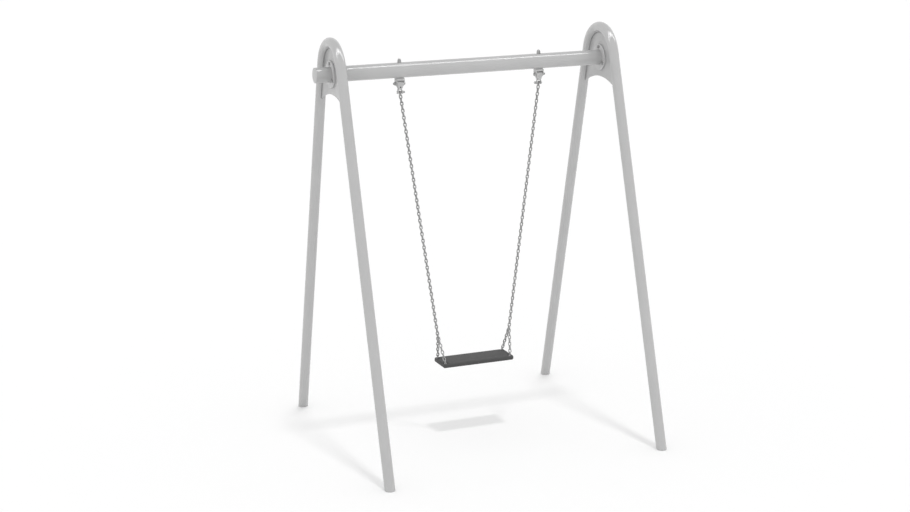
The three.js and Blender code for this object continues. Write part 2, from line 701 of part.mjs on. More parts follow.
/** The cross pin in the pendulum's fork, on which the shackle hangs. */
function crossPin() {
  const length = 2 * HOUSING_RADIUS - CROSS_PIN_COVER - CROSS_PIN_RECESS;
  const middle = [0, (CROSS_PIN_RECESS - CROSS_PIN_COVER) / 2, -CROSS_PIN_DROP];
  return bar('y', CROSS_PIN_DIAMETER / 2, length, middle, PIVOT_SIDES);
}

/** The shackle: a bow over the cross pin with an ear at each foot for the screw pin. */
function shackle() {
  const side = SHACKLE_FOOT_SPREAD / 2;
  const stations = bowStations(SHACKLE_BOW_RADIUS, shackleTop(), side, -SHACKLE_PIN_DROP);
  const bow = bentBar(stations, SHACKLE_WIRE / 2, 0, WIRE_SIDES);
  const ears = [-1, 1].map((outward) => (
    bar('x', SHACKLE_EAR_RADIUS, SHACKLE_EAR_WIDTH, [outward * side, 0, -SHACKLE_PIN_DROP], PIVOT_SIDES)));
  const reach = 2 * (side + SHACKLE_EAR_WIDTH);
  const bore = bar('x', SHACKLE_PIN_DIAMETER / 2 + FIT_GAP, reach, [0, 0, -SHACKLE_PIN_DROP]);
  return cut(join(bow, ...ears), bore);
}

/** The shackle's screw pin, with its collar and tab on the inner side. */
function shacklePin() {
  const side = SHACKLE_FOOT_SPREAD / 2 + SHACKLE_EAR_WIDTH / 2;
  const collarEnd = side + FIT_GAP + PIN_COLLAR_WIDTH;
  const length = side + collarEnd;
  return join(
    bar('x', SHACKLE_PIN_DIAMETER / 2, length, [(collarEnd - side) / 2, 0, 0]),
    bar('x', PIN_COLLAR_RADIUS, PIN_COLLAR_WIDTH, [collarEnd - PIN_COLLAR_WIDTH / 2, 0, 0]),
    bar('y', PIN_TAB_RADIUS, PIN_TAB_THICKNESS, [collarEnd + PIN_TAB_RADIUS / 2, 0, 0]),
  );
}

// Chains, hanging down from the origin

/**
 * One link in the plane X = 0, centred, from its wire, its distance between crowns and its outer width.
 * Its stations lie half a step beside the crowns, so that crowns and sides are flat and as thick as the wire.
 */
function link(wireDiameter, crowns, outerWidth) {
  const wire = wireDiameter / 2;
  const flatShare = Math.cos(Math.PI / LINK_STEPS);
  const halfWidth = outerWidth / 2 - wire;
  const loop = new THREE.TorusGeometry(halfWidth / flatShare, wire / flatShare, LINK_SIDES, LINK_STEPS)
    .rotateZ(Math.PI / LINK_STEPS)
    .scale(1, 1, flatShare);
  const places = loop.attributes.position;
  for (let index = 0; index < places.count; index += 1) {
    places.setY(index, places.getY(index) + Math.sign(places.getY(index)) * (crowns / 2 - halfWidth));
  }
  return loop.applyMatrix4(ACROSS_X);
}

/**
 * Links that bear on each other, as one body, from how far the first crown stands above the origin,
 * how many they are and how many quarter turns the first one has.
 */
function chain(rise, count, turns) {
  const links = Array.from({ length: count }, (_, index) => (
    solid(link(LINK_WIRE, LINK_CROWNS, LINK_OUTER_WIDTH)
      .rotateZ((index + turns) % 2 * Math.PI / 2)
      .translate(0, 0, rise - LINK_CROWNS / 2 - index * LINK_PITCH))));
  return join(...links);
}

/** The wide link at the fork; its lower crown is at the origin. */
function junctionLink() {
  return solid(link(JUNCTION_WIRE, JUNCTION_LENGTH, JUNCTION_OUTER_WIDTH)
    .translate(0, 0, JUNCTION_LENGTH / 2));
}

/** One hanger with its chain; outward is -1 on the left and 1 on the right. */
function hanger(side, outward) {
  const group = new THREE.Group();
  group.position.set(outward * HANGER_SPACING / 2, 0, BEAM_AXIS_HEIGHT);
  group.rotation.z = outward > 0 ? Math.PI : 0;
  group.add(
    piece(`saddle_pad_${side}`, saddlePad(), GALVANISED),
    piece(`hanger_yoke_${side}`, hangerYoke(), GALVANISED),
    piece(`hanger_bolt_${side}`, hangerBolt(), GALVANISED),
    piece(`hanger_washer_${side}`, hangerWasher(), GALVANISED),
    piece(`cap_nut_${side}`, capNut(), GALVANISED),
  );
  const pivot = new THREE.Group();
  pivot.position.z = -BEAM_RADIUS - PIVOT_DROP;
  pivot.add(
    piece(`pivot_bolt_${side}`, pivotBolt(), GALVANISED),
    piece(`pivot_nut_${side}`, pivotNut(), GALVANISED),
    piece(`pendulum_${side}`, pendulum(), GALVANISED),
    piece(`cross_pin_${side}`, crossPin(), GALVANISED),
    piece(`shackle_${side}`, shackle(), GALVANISED),
  );
  const pin = piece(`shackle_pin_${side}`, shacklePin(), GALVANISED);
  pin.position.z = -SHACKLE_PIN_DROP;
  pivot.add(pin);
  const suspension = new THREE.Group();
  suspension.position.z = -SHACKLE_PIN_DROP;
  suspension.rotation.y = -CHAIN_LEAN;
  const junction = piece(`junction_link_${side}`, junctionLink(), GALVANISED);
  junction.position.z = -JUNCTION_REACH;
  suspension.add(piece(`chain_${side}`, chain(FIRST_LINK_RISE, UPPER_LINK_COUNT, 0), GALVANISED), junction);
  for (const [place, along] of [['front', -1], ['back', 1]]) {
    const leg = piece(`seat_chain_${side}_${place}`, chain(0, SEAT_LINK_COUNT, 1), GALVANISED);
    const towards = outward > 0 ? -along : along;
    leg.position.y = towards * SEAT_LINK_OFFSET;
    leg.position.z = SEAT_LINK_RISE - JUNCTION_REACH;
    leg.rotation.x = towards * SEAT_CHAIN_SPLAY;
    suspension.add(leg);
  }
  pivot.add(suspension);
  group.add(pivot);
  return group;
}

// Seat, about the middle of its top face

/** A rectangle with round corners. */
function roundedRectangle(length, depth, radius) {
  const x = length / 2 - radius;
  const y = depth / 2 - radius;
  const outline = new THREE.Shape();
  outline.absarc(x, y, radius, 0, Math.PI / 2);
  outline.absarc(-x, y, radius, Math.PI / 2, Math.PI);
  outline.absarc(-x, -y, radius, Math.PI, 3 * Math.PI / 2);
  outline.absarc(x, -y, radius, 3 * Math.PI / 2, 2 * Math.PI);
  return outline;
}

/** Places [x, y] of the four loops. */
function eyePlaces() {
  return [-1, 1].flatMap((side) => [-1, 1].map((along) => [
    side * EYE_SPACING_LENGTH / 2,
    along * EYE_SPACING_DEPTH / 2,
  ]));
}

/** The insert's plate, larger by a gap on every side where it is the hollow round it. */
function insertPlate(gap) {
  const middle = [0, 0, -INSERT_DROP - INSERT_THICKNESS / 2];
  return block(INSERT_LENGTH + 2 * gap, INSERT_DEPTH + 2 * gap, INSERT_THICKNESS + 2 * gap, middle);
}

/** The rubber pad: rounded edges, lower end zones, a hollow for the insert and its four pockets. */
function seatPad() {
  const inset = SEAT_EDGE_RADIUS;
  const flat = roundedRectangle(SEAT_LENGTH - 2 * inset, SEAT_DEPTH - 2 * inset, SEAT_CORNER_RADIUS - inset);
  const body = new THREE.ExtrudeGeometry(flat, {
    depth: SEAT_THICKNESS - 2 * SEAT_EDGE_RADIUS,
    curveSegments: SEAT_EDGE_STEPS,
    bevelThickness: SEAT_EDGE_RADIUS,
    bevelSize: SEAT_EDGE_RADIUS,
    bevelSegments: SEAT_EDGE_STEPS,
  }).translate(0, 0, SEAT_EDGE_RADIUS - SEAT_THICKNESS);
  const endZones = [-1, 1].map((side) => (
    block(2 * END_ZONE_LENGTH, 2 * SEAT_DEPTH, 2 * END_ZONE_STEP, [side * SEAT_LENGTH / 2, 0, 0])));
  const hollow = insertPlate(FIT_GAP);
  const pocketWidth = LOOP_SPREAD + LOOP_WIRE + 2 * POCKET_ROOM;
  const pockets = eyePlaces().map(([x, y]) => (
    block(pocketWidth, 2 * POCKET_DEPTH_REACH, 2 * INSERT_DROP, [x, y - Math.sign(y) * POCKET_SHIFT, 0])));
  return cut(solid(body), ...endZones, hollow, ...pockets);
}

/** The steel insert: a plate with four upright wire loops. */
function seatInsert() {
  const stations = stapleStations(LOOP_SPREAD / 2, -LOOP_DROP, -INSERT_DROP - LOOP_ROOT, LOOP_BEND);
  const loops = eyePlaces().map(([x, y]) => (
    bentBar(stations.map((station) => station.clone().add(new THREE.Vector3(x, y, 0))),
      LOOP_WIRE / 2, 0, WIRE_SIDES)));
  return join(insertPlate(0), ...loops);
}

/** The seat at the height to which its chains reach. */
function seat() {
  const group = new THREE.Group();
  group.position.z = SEAT_TOP_HEIGHT;
  group.add(
    piece('seat_pad', seatPad(), SEAT_RUBBER),
    piece('seat_insert', seatInsert(), GALVANISED),
  );
  return group;
}

/** The beam with its two caps. */
function beam() {
  const group = new THREE.Group();
  group.position.z = BEAM_AXIS_HEIGHT;
  group.add(piece('cross_beam', crossBeam(), PAINTED_STEEL));
  for (const [side, outward] of [['left', -1], ['right', 1]]) {
    const cap = piece(`beam_cap_${side}`, beamCap(), GREY_PLASTIC);
    cap.position.x = outward * (BEAM_LENGTH / 2 - CAP_CROWN);
    cap.rotation.z = outward > 0 ? 0 : Math.PI;
    group.add(cap);
  }
  return group;
}

/** The whole swing set. */
function swingSet() {
  const group = new THREE.Group();
  group.add(beam(), seat());
  for (const [side, outward] of [['left', -1], ['right', 1]]) {
    group.add(endFrame(side, outward), hanger(side, outward));
  }
  return group;
}

export default swingSet();
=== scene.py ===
"""Swing set: the visible pieces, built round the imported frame.

Every piece is shaped in millimetres in the frame of what carries it, and is then set in place in metres.
+X runs along the beam to the viewer's right, -Y is the front and +Z is up.
"""

import json
import logging
import math
from dataclasses import dataclass, field
from enum import Enum

import bmesh
import bpy
from mathutils import Matrix, Vector


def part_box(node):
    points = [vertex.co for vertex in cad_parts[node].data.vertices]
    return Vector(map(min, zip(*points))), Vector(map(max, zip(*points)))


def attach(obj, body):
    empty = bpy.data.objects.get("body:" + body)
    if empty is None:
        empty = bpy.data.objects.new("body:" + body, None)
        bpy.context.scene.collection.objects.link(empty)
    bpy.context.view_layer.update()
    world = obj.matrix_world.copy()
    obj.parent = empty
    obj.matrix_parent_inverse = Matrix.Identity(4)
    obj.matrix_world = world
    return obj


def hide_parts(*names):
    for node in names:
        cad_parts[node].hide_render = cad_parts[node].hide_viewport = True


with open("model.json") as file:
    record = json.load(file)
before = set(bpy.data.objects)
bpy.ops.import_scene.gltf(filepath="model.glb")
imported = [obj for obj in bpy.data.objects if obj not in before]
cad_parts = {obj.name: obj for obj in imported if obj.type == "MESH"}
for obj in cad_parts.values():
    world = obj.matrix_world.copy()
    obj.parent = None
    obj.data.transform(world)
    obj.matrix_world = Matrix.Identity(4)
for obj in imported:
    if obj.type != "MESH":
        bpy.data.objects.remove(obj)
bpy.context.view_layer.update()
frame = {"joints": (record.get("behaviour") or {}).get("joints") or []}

LOG = logging.getLogger("swing_set")
MM = 0.001  # a millimetre in metres
FIT_GAP = 0.3  # air between pieces that fit together
CUT_OVERRUN = 5.0  # how far a cutting tool reaches past what it cuts
MERGE = 0.01  # points nearer than this are one
ROUND_SIDES = 64  # facets round a tube
SMALL_SIDES = 32  # facets round a fastener
CHAMFER_FACE = 0.475  # radius of a hexagon's chamfered face, as a share of its flats
CHAMFER_ANGLE = math.radians(30)
NOISE_SPAN = (0.3, 0.7)  # where nearly all of a noise lies
SCREEN_OFFSET, SCREEN_POWER = 0.055, 2.4  # the curve between screen levels and linear light
Pair = tuple[float, float]
Colour = tuple[float, float, float]
Socket = bpy.types.NodeSocket


class Axis(Enum):
    """An axis that a bar or a turned piece lies on, given as the direction of its upper end."""

    X = (1.0, 0.0, 0.0)
    MINUS_X = (-1.0, 0.0, 0.0)
    Y = (0.0, 1.0, 0.0)
    MINUS_Y = (0.0, -1.0, 0.0)
    Z = (0.0, 0.0, 1.0)

    @property
    def turn(self) -> Matrix:
        """The turn that lays an upright piece on this axis.

        Returns:
            The turn.
        """
        if self is Axis.Z:
            return Matrix.Identity(4)
        return Vector(self.value).to_track_quat("Z", "Y").to_matrix().to_4x4()


class Side(Enum):
    """The end of the beam that a piece belongs to, as its direction along the beam."""

    LEFT = -1
    RIGHT = 1

    @property
    def word(self) -> str:
        """The side's name as piece names have it."""
        return self.name.lower()

    @property
    def half_turn(self) -> Matrix:
        """The turn about the upright that makes right-hand pieces from left-hand ones."""
        return Matrix.Rotation(math.pi if self is Side.RIGHT else 0.0, 4, "Z")


class Place(Enum):
    """Front or back, as the direction along Y."""

    FRONT = -1
    BACK = 1

    @property
    def word(self) -> str:
        """The place's name as piece names have it."""
        return self.name.lower()


class Body(Enum):
    """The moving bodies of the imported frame."""

    FRAME = "frame"
    LEFT_SUSPENSION = "left_suspension"
    RIGHT_SUSPENSION = "right_suspension"
    SEAT = "seat"

    @classmethod
    def suspension(cls, side: Side) -> "Body":
        """The suspension on one side.

        Args:
            side: The side of the beam.

        Returns:
            The body that swings there.
        """
        return cls.LEFT_SUSPENSION if side is Side.LEFT else cls.RIGHT_SUSPENSION


def arc(radius: float, start: float, end: float, steps: int, centre: Pair = (0.0, 0.0)) -> list[Pair]:
    """Points round an arc.

    Args:
        radius: The arc's radius.
        start: Its first angle in radians, from the first axis towards the second.
        end: Its last angle.
        steps: How many steps the arc has.
        centre: Its centre.

    Returns:
        The points from start to end.
    """
    angles = [start + (end - start) * step / steps for step in range(steps + 1)]
    return [(centre[0] + radius * math.cos(a), centre[1] + radius * math.sin(a)) for a in angles]


def dome(radius: float, base: float, rise: float, step: int) -> list[Pair]:
    """Points up the flank of a dome, short of its top.

    Args:
        radius: The dome's radius.
        base: Height of its base.
        rise: Its height above the base.
        step: Degrees from point to point.

    Returns:
        Pairs of radius and height, from the base up.
    """
    angles = [math.radians(angle) for angle in range(0, 90, step)]
    return [(radius * math.cos(a), base + rise * math.sin(a)) for a in angles]


def shift(x: float = 0.0, y: float = 0.0, z: float = 0.0) -> Matrix:
    """A move by a distance along each axis."""
    return Matrix.Translation((x, y, z))


class Workpiece:
    """One piece on the bench, shaped in millimetres with Blender's operators."""

    def __init__(self, obj: bpy.types.Object) -> None:
        """Takes over a mesh object.

        Args:
            obj: The object.
        """
        self.obj = obj

    @staticmethod
    def clear_bench() -> None:
        """Deselects every object, so that an operator acts on one piece alone."""
        bpy.ops.object.select_all(action="DESELECT")

    @classmethod
    def added(cls) -> "Workpiece":
        """The piece that an operator has just added, with its place put in its mesh."""
        bpy.ops.object.transform_apply(location=True, rotation=True, scale=True)
        return cls(bpy.context.active_object)

    @classmethod
    def bar(cls, radius: float, length: float, axis: Axis = Axis.Z, at: Vector = Vector(),
            sides: int = SMALL_SIDES) -> "Workpiece":
        """A round or many-sided bar.

        Args:
            radius: Radius to its corners.
            length: Length along its axis.
            axis: The axis it lies on.
            at: Its middle.
            sides: How many sides it has.

        Returns:
            The bar.
        """
        cls.clear_bench()
        bpy.ops.mesh.primitive_cylinder_add(vertices=sides, radius=radius, depth=length, location=at,
                                            rotation=axis.turn.to_euler())
        return cls.added()

    @classmethod
    def block(cls, size: tuple[float, float, float], at: Vector = Vector()) -> "Workpiece":
        """A block.

        Args:
            size: Width, depth and height.
            at: Its middle.

        Returns:
            The block.
        """
        cls.clear_bench()
        bpy.ops.mesh.primitive_cube_add(size=1.0, location=at, scale=size)
        return cls.added()

    @classmethod
    def wire(cls, points: list[Vector]) -> "Workpiece":
        """A chain of edges, made by extruding one vertex from point to point.

        Args:
            points: The points it runs through.

        Returns:
            The wire.
        """
        cls.clear_bench()
        bpy.ops.mesh.primitive_plane_add(size=1.0, location=points[0])
        piece = cls.added()
        bpy.ops.object.mode_set(mode="EDIT")
        bpy.ops.mesh.select_mode(type="VERT")
        bpy.ops.mesh.select_all(action="SELECT")
        bpy.ops.mesh.merge(type="CENTER")
        for here, there in zip(points, points[1:]):
            bpy.ops.mesh.extrude_region_move(TRANSFORM_OT_translate={"value": there - here})
        bpy.ops.object.mode_set(mode="OBJECT")
        return piece

    @classmethod
    def turned(cls, profile: list[Pair], axis: Axis = Axis.Z, sides: int = ROUND_SIDES) -> "Workpiece":
        """A turned piece, its profile spun round the upright axis and then laid on its axis.

        Args:
            profile: Pairs of radius and height. It ends on the axis or where it began.
            axis: The axis it lies on.
            sides: How many steps the spin has.

        Returns:
            The turned piece.
        """
        piece = cls.wire([Vector((radius, 0.0, height)) for radius, height in profile])
        piece.enter()
        bpy.ops.mesh.spin(steps=sides, angle=2 * math.pi, center=(0, 0, 0), axis=(0, 0, 1))
        piece.close(capped=False)
        return piece.put(axis.turn)

    @classmethod
    def plate(cls, outline: list[Pair], thickness: float, axis: Axis) -> "Workpiece":
        """A plate square to an axis, its middle plane through the origin.

        Args:
            outline: Its outline in the two axes that follow the plate's own, in the order X, Y, Z.
            thickness: Its thickness.
            axis: The axis that it is square to.

        Returns:
            The plate.
        """
        half = -thickness / 2
        makers = {
            Axis.X: lambda u, v: Vector((half, u, v)),
            Axis.Y: lambda u, v: Vector((u, half, v)),
            Axis.Z: lambda u, v: Vector((u, v, half)),
        }
        piece = cls.wire([makers[axis](u, v) for u, v in outline])
        piece.enter()
        bpy.ops.mesh.edge_face_add()
        bpy.ops.mesh.extrude_region_move(
            TRANSFORM_OT_translate={"value": Vector(axis.value) * thickness})
        piece.close(capped=True)
        return piece

    def take(self) -> None:
        """Makes this piece the only one that is selected, and active."""
        self.clear_bench()
        self.obj.select_set(True)
        bpy.context.view_layer.objects.active = self.obj

    def enter(self) -> None:
        """Opens the piece in edit mode with all of it selected."""
        self.take()
        bpy.ops.object.mode_set(mode="EDIT")
        bpy.ops.mesh.select_mode(type="VERT")
        bpy.ops.mesh.select_all(action="SELECT")

    def close(self, capped: bool) -> None:
        """Merges what lies together, turns the faces outwards and leaves edit mode.

        Args:
            capped: True where open ends are filled.
        """
        bpy.ops.mesh.select_all(action="SELECT")
        bpy.ops.mesh.remove_doubles(threshold=MERGE)
        if capped:
            bpy.ops.mesh.fill_holes(sides=0)
            bpy.ops.mesh.select_all(action="SELECT")
        bpy.ops.mesh.normals_make_consistent(inside=False)
        bpy.ops.object.mode_set(mode="OBJECT")

    def put(self, place: Matrix) -> "Workpiece":
        """Moves the mesh to a place.

        Args:
            place: The move.

        Returns:
            This piece.
        """
        self.take()
        self.obj.matrix_world = place @ self.obj.matrix_world
        bpy.ops.object.transform_apply(location=True, rotation=True, scale=True)
        return self

    def modify(self, kind: str, **settings: object) -> "Workpiece":
        """Adds a modifier and applies it.

        Args:
            kind: Blender's name for the modifier.
            settings: Its settings.

        Returns:
            This piece.
        """
        self.take()
        bpy.ops.object.modifier_add(type=kind)
        modifier = self.obj.modifiers[-1]
        for key, value in settings.items():
            setattr(modifier, key, value)
        bpy.ops.object.modifier_apply(modifier=modifier.name)
        return self

    def round_edges(self, width: float, steps: int = 2, angle: float = 30.0) -> "Workpiece":
        """Rounds the sharp edges.

        Args:
            width: Width of the rounding.
            steps: How many facets it has.
            angle: The least angle in degrees at which an edge counts as sharp.

        Returns:
            This piece.
        """
        return self.modify("BEVEL", width=width, segments=steps, limit_method="ANGLE",
                           angle_limit=math.radians(angle), miter_outer="MITER_ARC")

    def round_upright_edges(self, width: float, steps: int) -> "Workpiece":
        """Rounds the edges that stand upright, in edit mode.

        Args:
            width: Width of the rounding.
            steps: How many facets it has.

        Returns:
            This piece.
        """
        self.enter()
        bpy.ops.mesh.select_mode(type="EDGE")
        bpy.ops.mesh.select_all(action="DESELECT")
        mesh = bmesh.from_edit_mesh(self.obj.data)
        for edge in mesh.edges:
            run = edge.verts[1].co - edge.verts[0].co
            edge.select_set(math.hypot(run.x, run.y) < MERGE)
        bmesh.update_edit_mesh(self.obj.data)
        bpy.ops.mesh.bevel(offset=width, segments=steps, affect="EDGES")
        self.close(capped=False)
        return self

    def combine(self, operation: str, *others: "Workpiece") -> "Workpiece":
        """Cuts, joins or keeps what is common with other pieces, which are used up.

        Args:
            operation: DIFFERENCE, UNION or INTERSECT.
            others: The other pieces.

        Returns:
            This piece.
        """
        for other in others:
            self.modify("BOOLEAN", operation=operation, solver="EXACT", object=other.obj)
            bpy.data.objects.remove(other.obj)
        return self

    def cut(self, *tools: "Workpiece") -> "Workpiece":
        """Takes other pieces' shapes out of this one, and returns it."""
        return self.combine("DIFFERENCE", *tools)

    def grow(self, *others: "Workpiece") -> "Workpiece":
        """Makes other pieces part of this one, and returns it."""
        return self.combine("UNION", *others)

    def gather(self, *others: "Workpiece") -> "Workpiece":
        """Puts other pieces beside this one in one object.

        Args:
            others: The other pieces, which are used up.

        Returns:
            This piece.
        """
        self.take()
        for other in others:
            other.obj.select_set(True)
        bpy.ops.object.join()
        return self

    def halve(self, at: Vector, normal: Vector, filled: bool) -> "Workpiece":
        """Keeps the part of the piece that lies beyond a plane.

        Args:
            at: A point of the plane.
            normal: The direction of the part to keep.
            filled: True where the cut gets a face.

        Returns:
            This piece.
        """
        self.enter()
        bpy.ops.mesh.bisect(plane_co=at, plane_no=normal, clear_inner=True, use_fill=filled)
        self.close(capped=False)
        return self

    def copy(self) -> "Workpiece":
        """A second piece with a mesh of its own.

        Returns:
            The second piece.
        """
        self.take()
        bpy.ops.object.duplicate(linked=False)
        return Workpiece(bpy.context.active_object)


class Rod:
    """A round rod on the bender: a ring that is drawn along straights and round bends."""

    def __init__(self, radius: float, sides: int, start: Vector, heading: Vector) -> None:
        """Sets a ring at the rod's start.

        Args:
            radius: The rod's radius.
            sides: How many sides its section has.
            start: The middle of its start.
            heading: The direction in which it sets out.
        """
        Workpiece.clear_bench()
        bpy.ops.mesh.primitive_circle_add(vertices=sides, radius=radius, location=start,
                                          rotation=heading.to_track_quat("Z", "Y").to_euler())
        self.piece = Workpiece.added()
        self.piece.enter()

    def straight(self, run: Vector) -> "Rod":
        """Draws the rod along a straight.

        Args:
            run: The straight from end to end.

        Returns:
            This rod.
        """
        bpy.ops.mesh.extrude_region_move(TRANSFORM_OT_translate={"value": run})
        return self

    def bend(self, angle: float, centre: Vector, axis: Vector, steps: int) -> "Rod":
        """Draws the rod round a bend.

        Args:
            angle: The bend's angle in radians.
            centre: The bend's centre.
            axis: The axis that it turns about, by the right hand.
            steps: How many steps the bend has.

        Returns:
            This rod.
        """
        bpy.ops.mesh.spin(steps=steps, angle=angle, center=centre, axis=-axis)
        return self

    def done(self, capped: bool) -> Workpiece:
        """Takes the rod off the bender.

        Args:
            capped: True where its ends are filled.

        Returns:
            The rod as a piece.
        """
        self.piece.close(capped)
        return self.piece


class Recipe:
    """A node material under way, on coordinates in the piece's own mesh."""

    def __init__(self, name: str) -> None:
        """Starts from a plain shader.

        Args:
            name: The material's name.
        """
        self.material = bpy.data.materials.new(name)
        self.material.use_nodes = True
        self.tree = self.material.node_tree
        self.shader = self.tree.nodes["Principled BSDF"]
        self.place = self.tree.nodes.new("ShaderNodeTexCoord").outputs["Object"]

    def pattern(self, kind: str, size_mm: float) -> bpy.types.Node:
        """A pattern node on the mesh's own coordinates.

        Args:
            kind: Blender's name for the node.
            size_mm: Size of the pattern's patches.

        Returns:
            The node.
        """
        node = self.tree.nodes.new(kind)
        node.inputs["Scale"].default_value = 1 / (size_mm * MM)
        self.tree.links.new(self.place, node.inputs["Vector"])
        return node

    def noise(self, size_mm: float, detail: float = 2.0) -> Socket:
        """Soft cloudy noise.

        Args:
            size_mm: Size of its patches.
            detail: How much finer noise it holds.

        Returns:
            The noise, from 0 to 1.
        """
        node = self.pattern("ShaderNodeTexNoise", size_mm)
        node.inputs["Detail"].default_value = detail
        return node.outputs["Fac"]

    def cells(self, size_mm: float) -> Socket:
        """Flat patches with hard borders, each of its own tone.

        Args:
            size_mm: Size of the patches.

        Returns:
            The tone, from 0 to 1.
        """
        node = self.pattern("ShaderNodeTexVoronoi", size_mm)
        split = self.tree.nodes.new("ShaderNodeSeparateColor")
        self.tree.links.new(node.outputs["Color"], split.inputs["Color"])
        return split.outputs["Red"]

    def ranged(self, source: Socket, low: float, high: float) -> Socket:
        """Stretches the middle of a noise over a range.

        Args:
            source: The noise.
            low: The value at its dark patches.
            high: The value at its pale patches.

        Returns:
            The stretched noise.
        """
        node = self.tree.nodes.new("ShaderNodeMapRange")
        for name, value in zip(("From Min", "From Max", "To Min", "To Max"), (*NOISE_SPAN, low, high)):
            node.inputs[name].default_value = value
        self.tree.links.new(source, node.inputs["Value"])
        return node.outputs["Result"]

    def tint(self, source: Socket, colour: Colour, swing: float) -> None:
        """Gives the shader a colour that varies with a noise.

        Args:
            source: The noise.
            colour: The middle colour, linear.
            swing: The share by which it varies both ways.
        """
        node = self.tree.nodes.new("ShaderNodeMix")
        node.data_type = "RGBA"
        node.inputs["A"].default_value = (*[part * (1 - swing) for part in colour], 1)
        node.inputs["B"].default_value = (*[part * (1 + swing) for part in colour], 1)
        self.tree.links.new(self.ranged(source, 0.0, 1.0), node.inputs["Factor"])
        self.tree.links.new(node.outputs["Result"], self.shader.inputs["Base Color"])

    def roughen(self, source: Socket, low: float, high: float) -> None:
        """Gives the shader a roughness that varies with a noise.

        Args:
            source: The noise.
            low: The least roughness.
            high: The most.
        """
        self.tree.links.new(self.ranged(source, low, high), self.shader.inputs["Roughness"])

    def emboss(self, *layers: tuple[Socket, float]) -> None:
        """Gives the shader bumps.

        Args:
            layers: Each noise with the height of its bumps in millimetres.
        """
        normal = None
        for source, height_mm in layers:
            node = self.tree.nodes.new("ShaderNodeBump")
            node.inputs["Strength"].default_value = 1.0
            node.inputs["Distance"].default_value = height_mm * MM
            self.tree.links.new(source, node.inputs["Height"])
            if normal:
                self.tree.links.new(normal, node.inputs["Normal"])
            normal = node.outputs["Normal"]
        self.tree.links.new(normal, self.shader.inputs["Normal"])


def grey(level: int) -> Colour:
    """A linear grey from a screen level of 0 to 255, as red, green and blue."""
    linear = ((level / 255 + SCREEN_OFFSET) / (1 + SCREEN_OFFSET)) ** SCREEN_POWER
    return linear, linear, linear


@dataclass(frozen=True)
class Finish:
    """A finish with its material slot in the record.

    Its colour varies by the share swing, and its roughness within a range. The patches and bumps of every
    finish are measured in millimetres.
    """

    slot: str
    colour: Colour
    swing: float
    roughness: Pair

    def material(self) -> bpy.types.Material:
        """The finish as a material, made once and shared by its pieces."""
        name = f"{type(self).__name__}_{self.slot}"
        return bpy.data.materials.get(name) or self.mix(Recipe(name)).material

    def mix(self, recipe: Recipe) -> Recipe:
        """Fills in the recipe of the finish.

        Args:
            recipe: The plain recipe.

        Returns:
            The same recipe.
        """
        raise NotImplementedError


@dataclass(frozen=True)
class StovePaint(Finish):
    """A smooth baked coat on steel, with a faint orange peel and a light bloom of dust."""

    slot: str = "painted_steel"
    colour: Colour = grey(179)
    swing: float = 0.025
    roughness: Pair = (0.13, 0.2)
    specular: float = 0.35
    bloom: float = 260.0
    wear: float = 40.0
    peel: float = 2.2
    peel_height: float = 0.012

    def mix(self, recipe: Recipe) -> Recipe:
        """Fills in the recipe.

        Args:
            recipe: The plain recipe.

        Returns:
            The same recipe.
        """
        recipe.tint(recipe.noise(self.bloom, detail=4.0), self.colour, self.swing)
        recipe.roughen(recipe.noise(self.wear, detail=3.0), *self.roughness)
        recipe.emboss((recipe.noise(self.peel), self.peel_height))
        recipe.shader.inputs["Specular IOR Level"].default_value = self.specular
        return recipe


@dataclass(frozen=True)
class ShadedSheetPaint(StovePaint):
    """The same coat on the flat plates, where it lies thicker with a coarser peel, its colour darkened as
    painted shade on the plates.
    """

    # a darker copy of the coat's colour, painted shade for the plates
    colour: Colour = grey(170)
    peel: float = 3.2


@dataclass(frozen=True)
class ShadedSeamPaint(StovePaint):
    """The same coat on the weld beads, its colour darkened to paint the shade in the corner between tube and
    plate.
    """

    # the darker grey is painted shade of the corner between tube and plate
    colour: Colour = grey(138)
    bloom: float = 60.0


@dataclass(frozen=True)
class Zinc(Finish):
    """Hot-dipped zinc: dull grey with pale and dark crystals and small runs."""

    slot: str = "galvanised"
    colour: Colour = grey(183)
    swing: float = 0.09
    roughness: Pair = (0.34, 0.5)
    sheen: float = 0.25
    crystal: float = 3.5
    tarnish: float = 5.0
    pitting: float = 1.2
    pitting_height: float = 0.03
    runs: float = 6.0
    run_height: float = 0.08

    def mix(self, recipe: Recipe) -> Recipe:
        """Fills in the recipe.

        Args:
            recipe: The plain recipe.

        Returns:
            The same recipe.
        """
        recipe.tint(recipe.cells(self.crystal), self.colour, self.swing)
        recipe.roughen(recipe.noise(self.tarnish, detail=3.0), *self.roughness)
        recipe.emboss((recipe.noise(self.pitting, detail=3.0), self.pitting_height),
                      (recipe.noise(self.runs), self.run_height))
        recipe.shader.inputs["Metallic"].default_value = self.sheen
        return recipe


@dataclass(frozen=True)
class ChainZinc(Zinc):
    """The dipped zinc of the chains, greyer where the links have rubbed and weathered."""

    colour: Colour = grey(153)
    sheen: float = 0.4
    crystal: float = 2.5


@dataclass(frozen=True)
class ShadedPinZinc(Zinc):
    """Dipped zinc on the cross pins that the shackles rub, painted dark as the shade in the bores that hold
    them.
    """

    # near black: painted shade of the bore round the pin
    colour: Colour = grey(62)
    crystal: float = 2.0


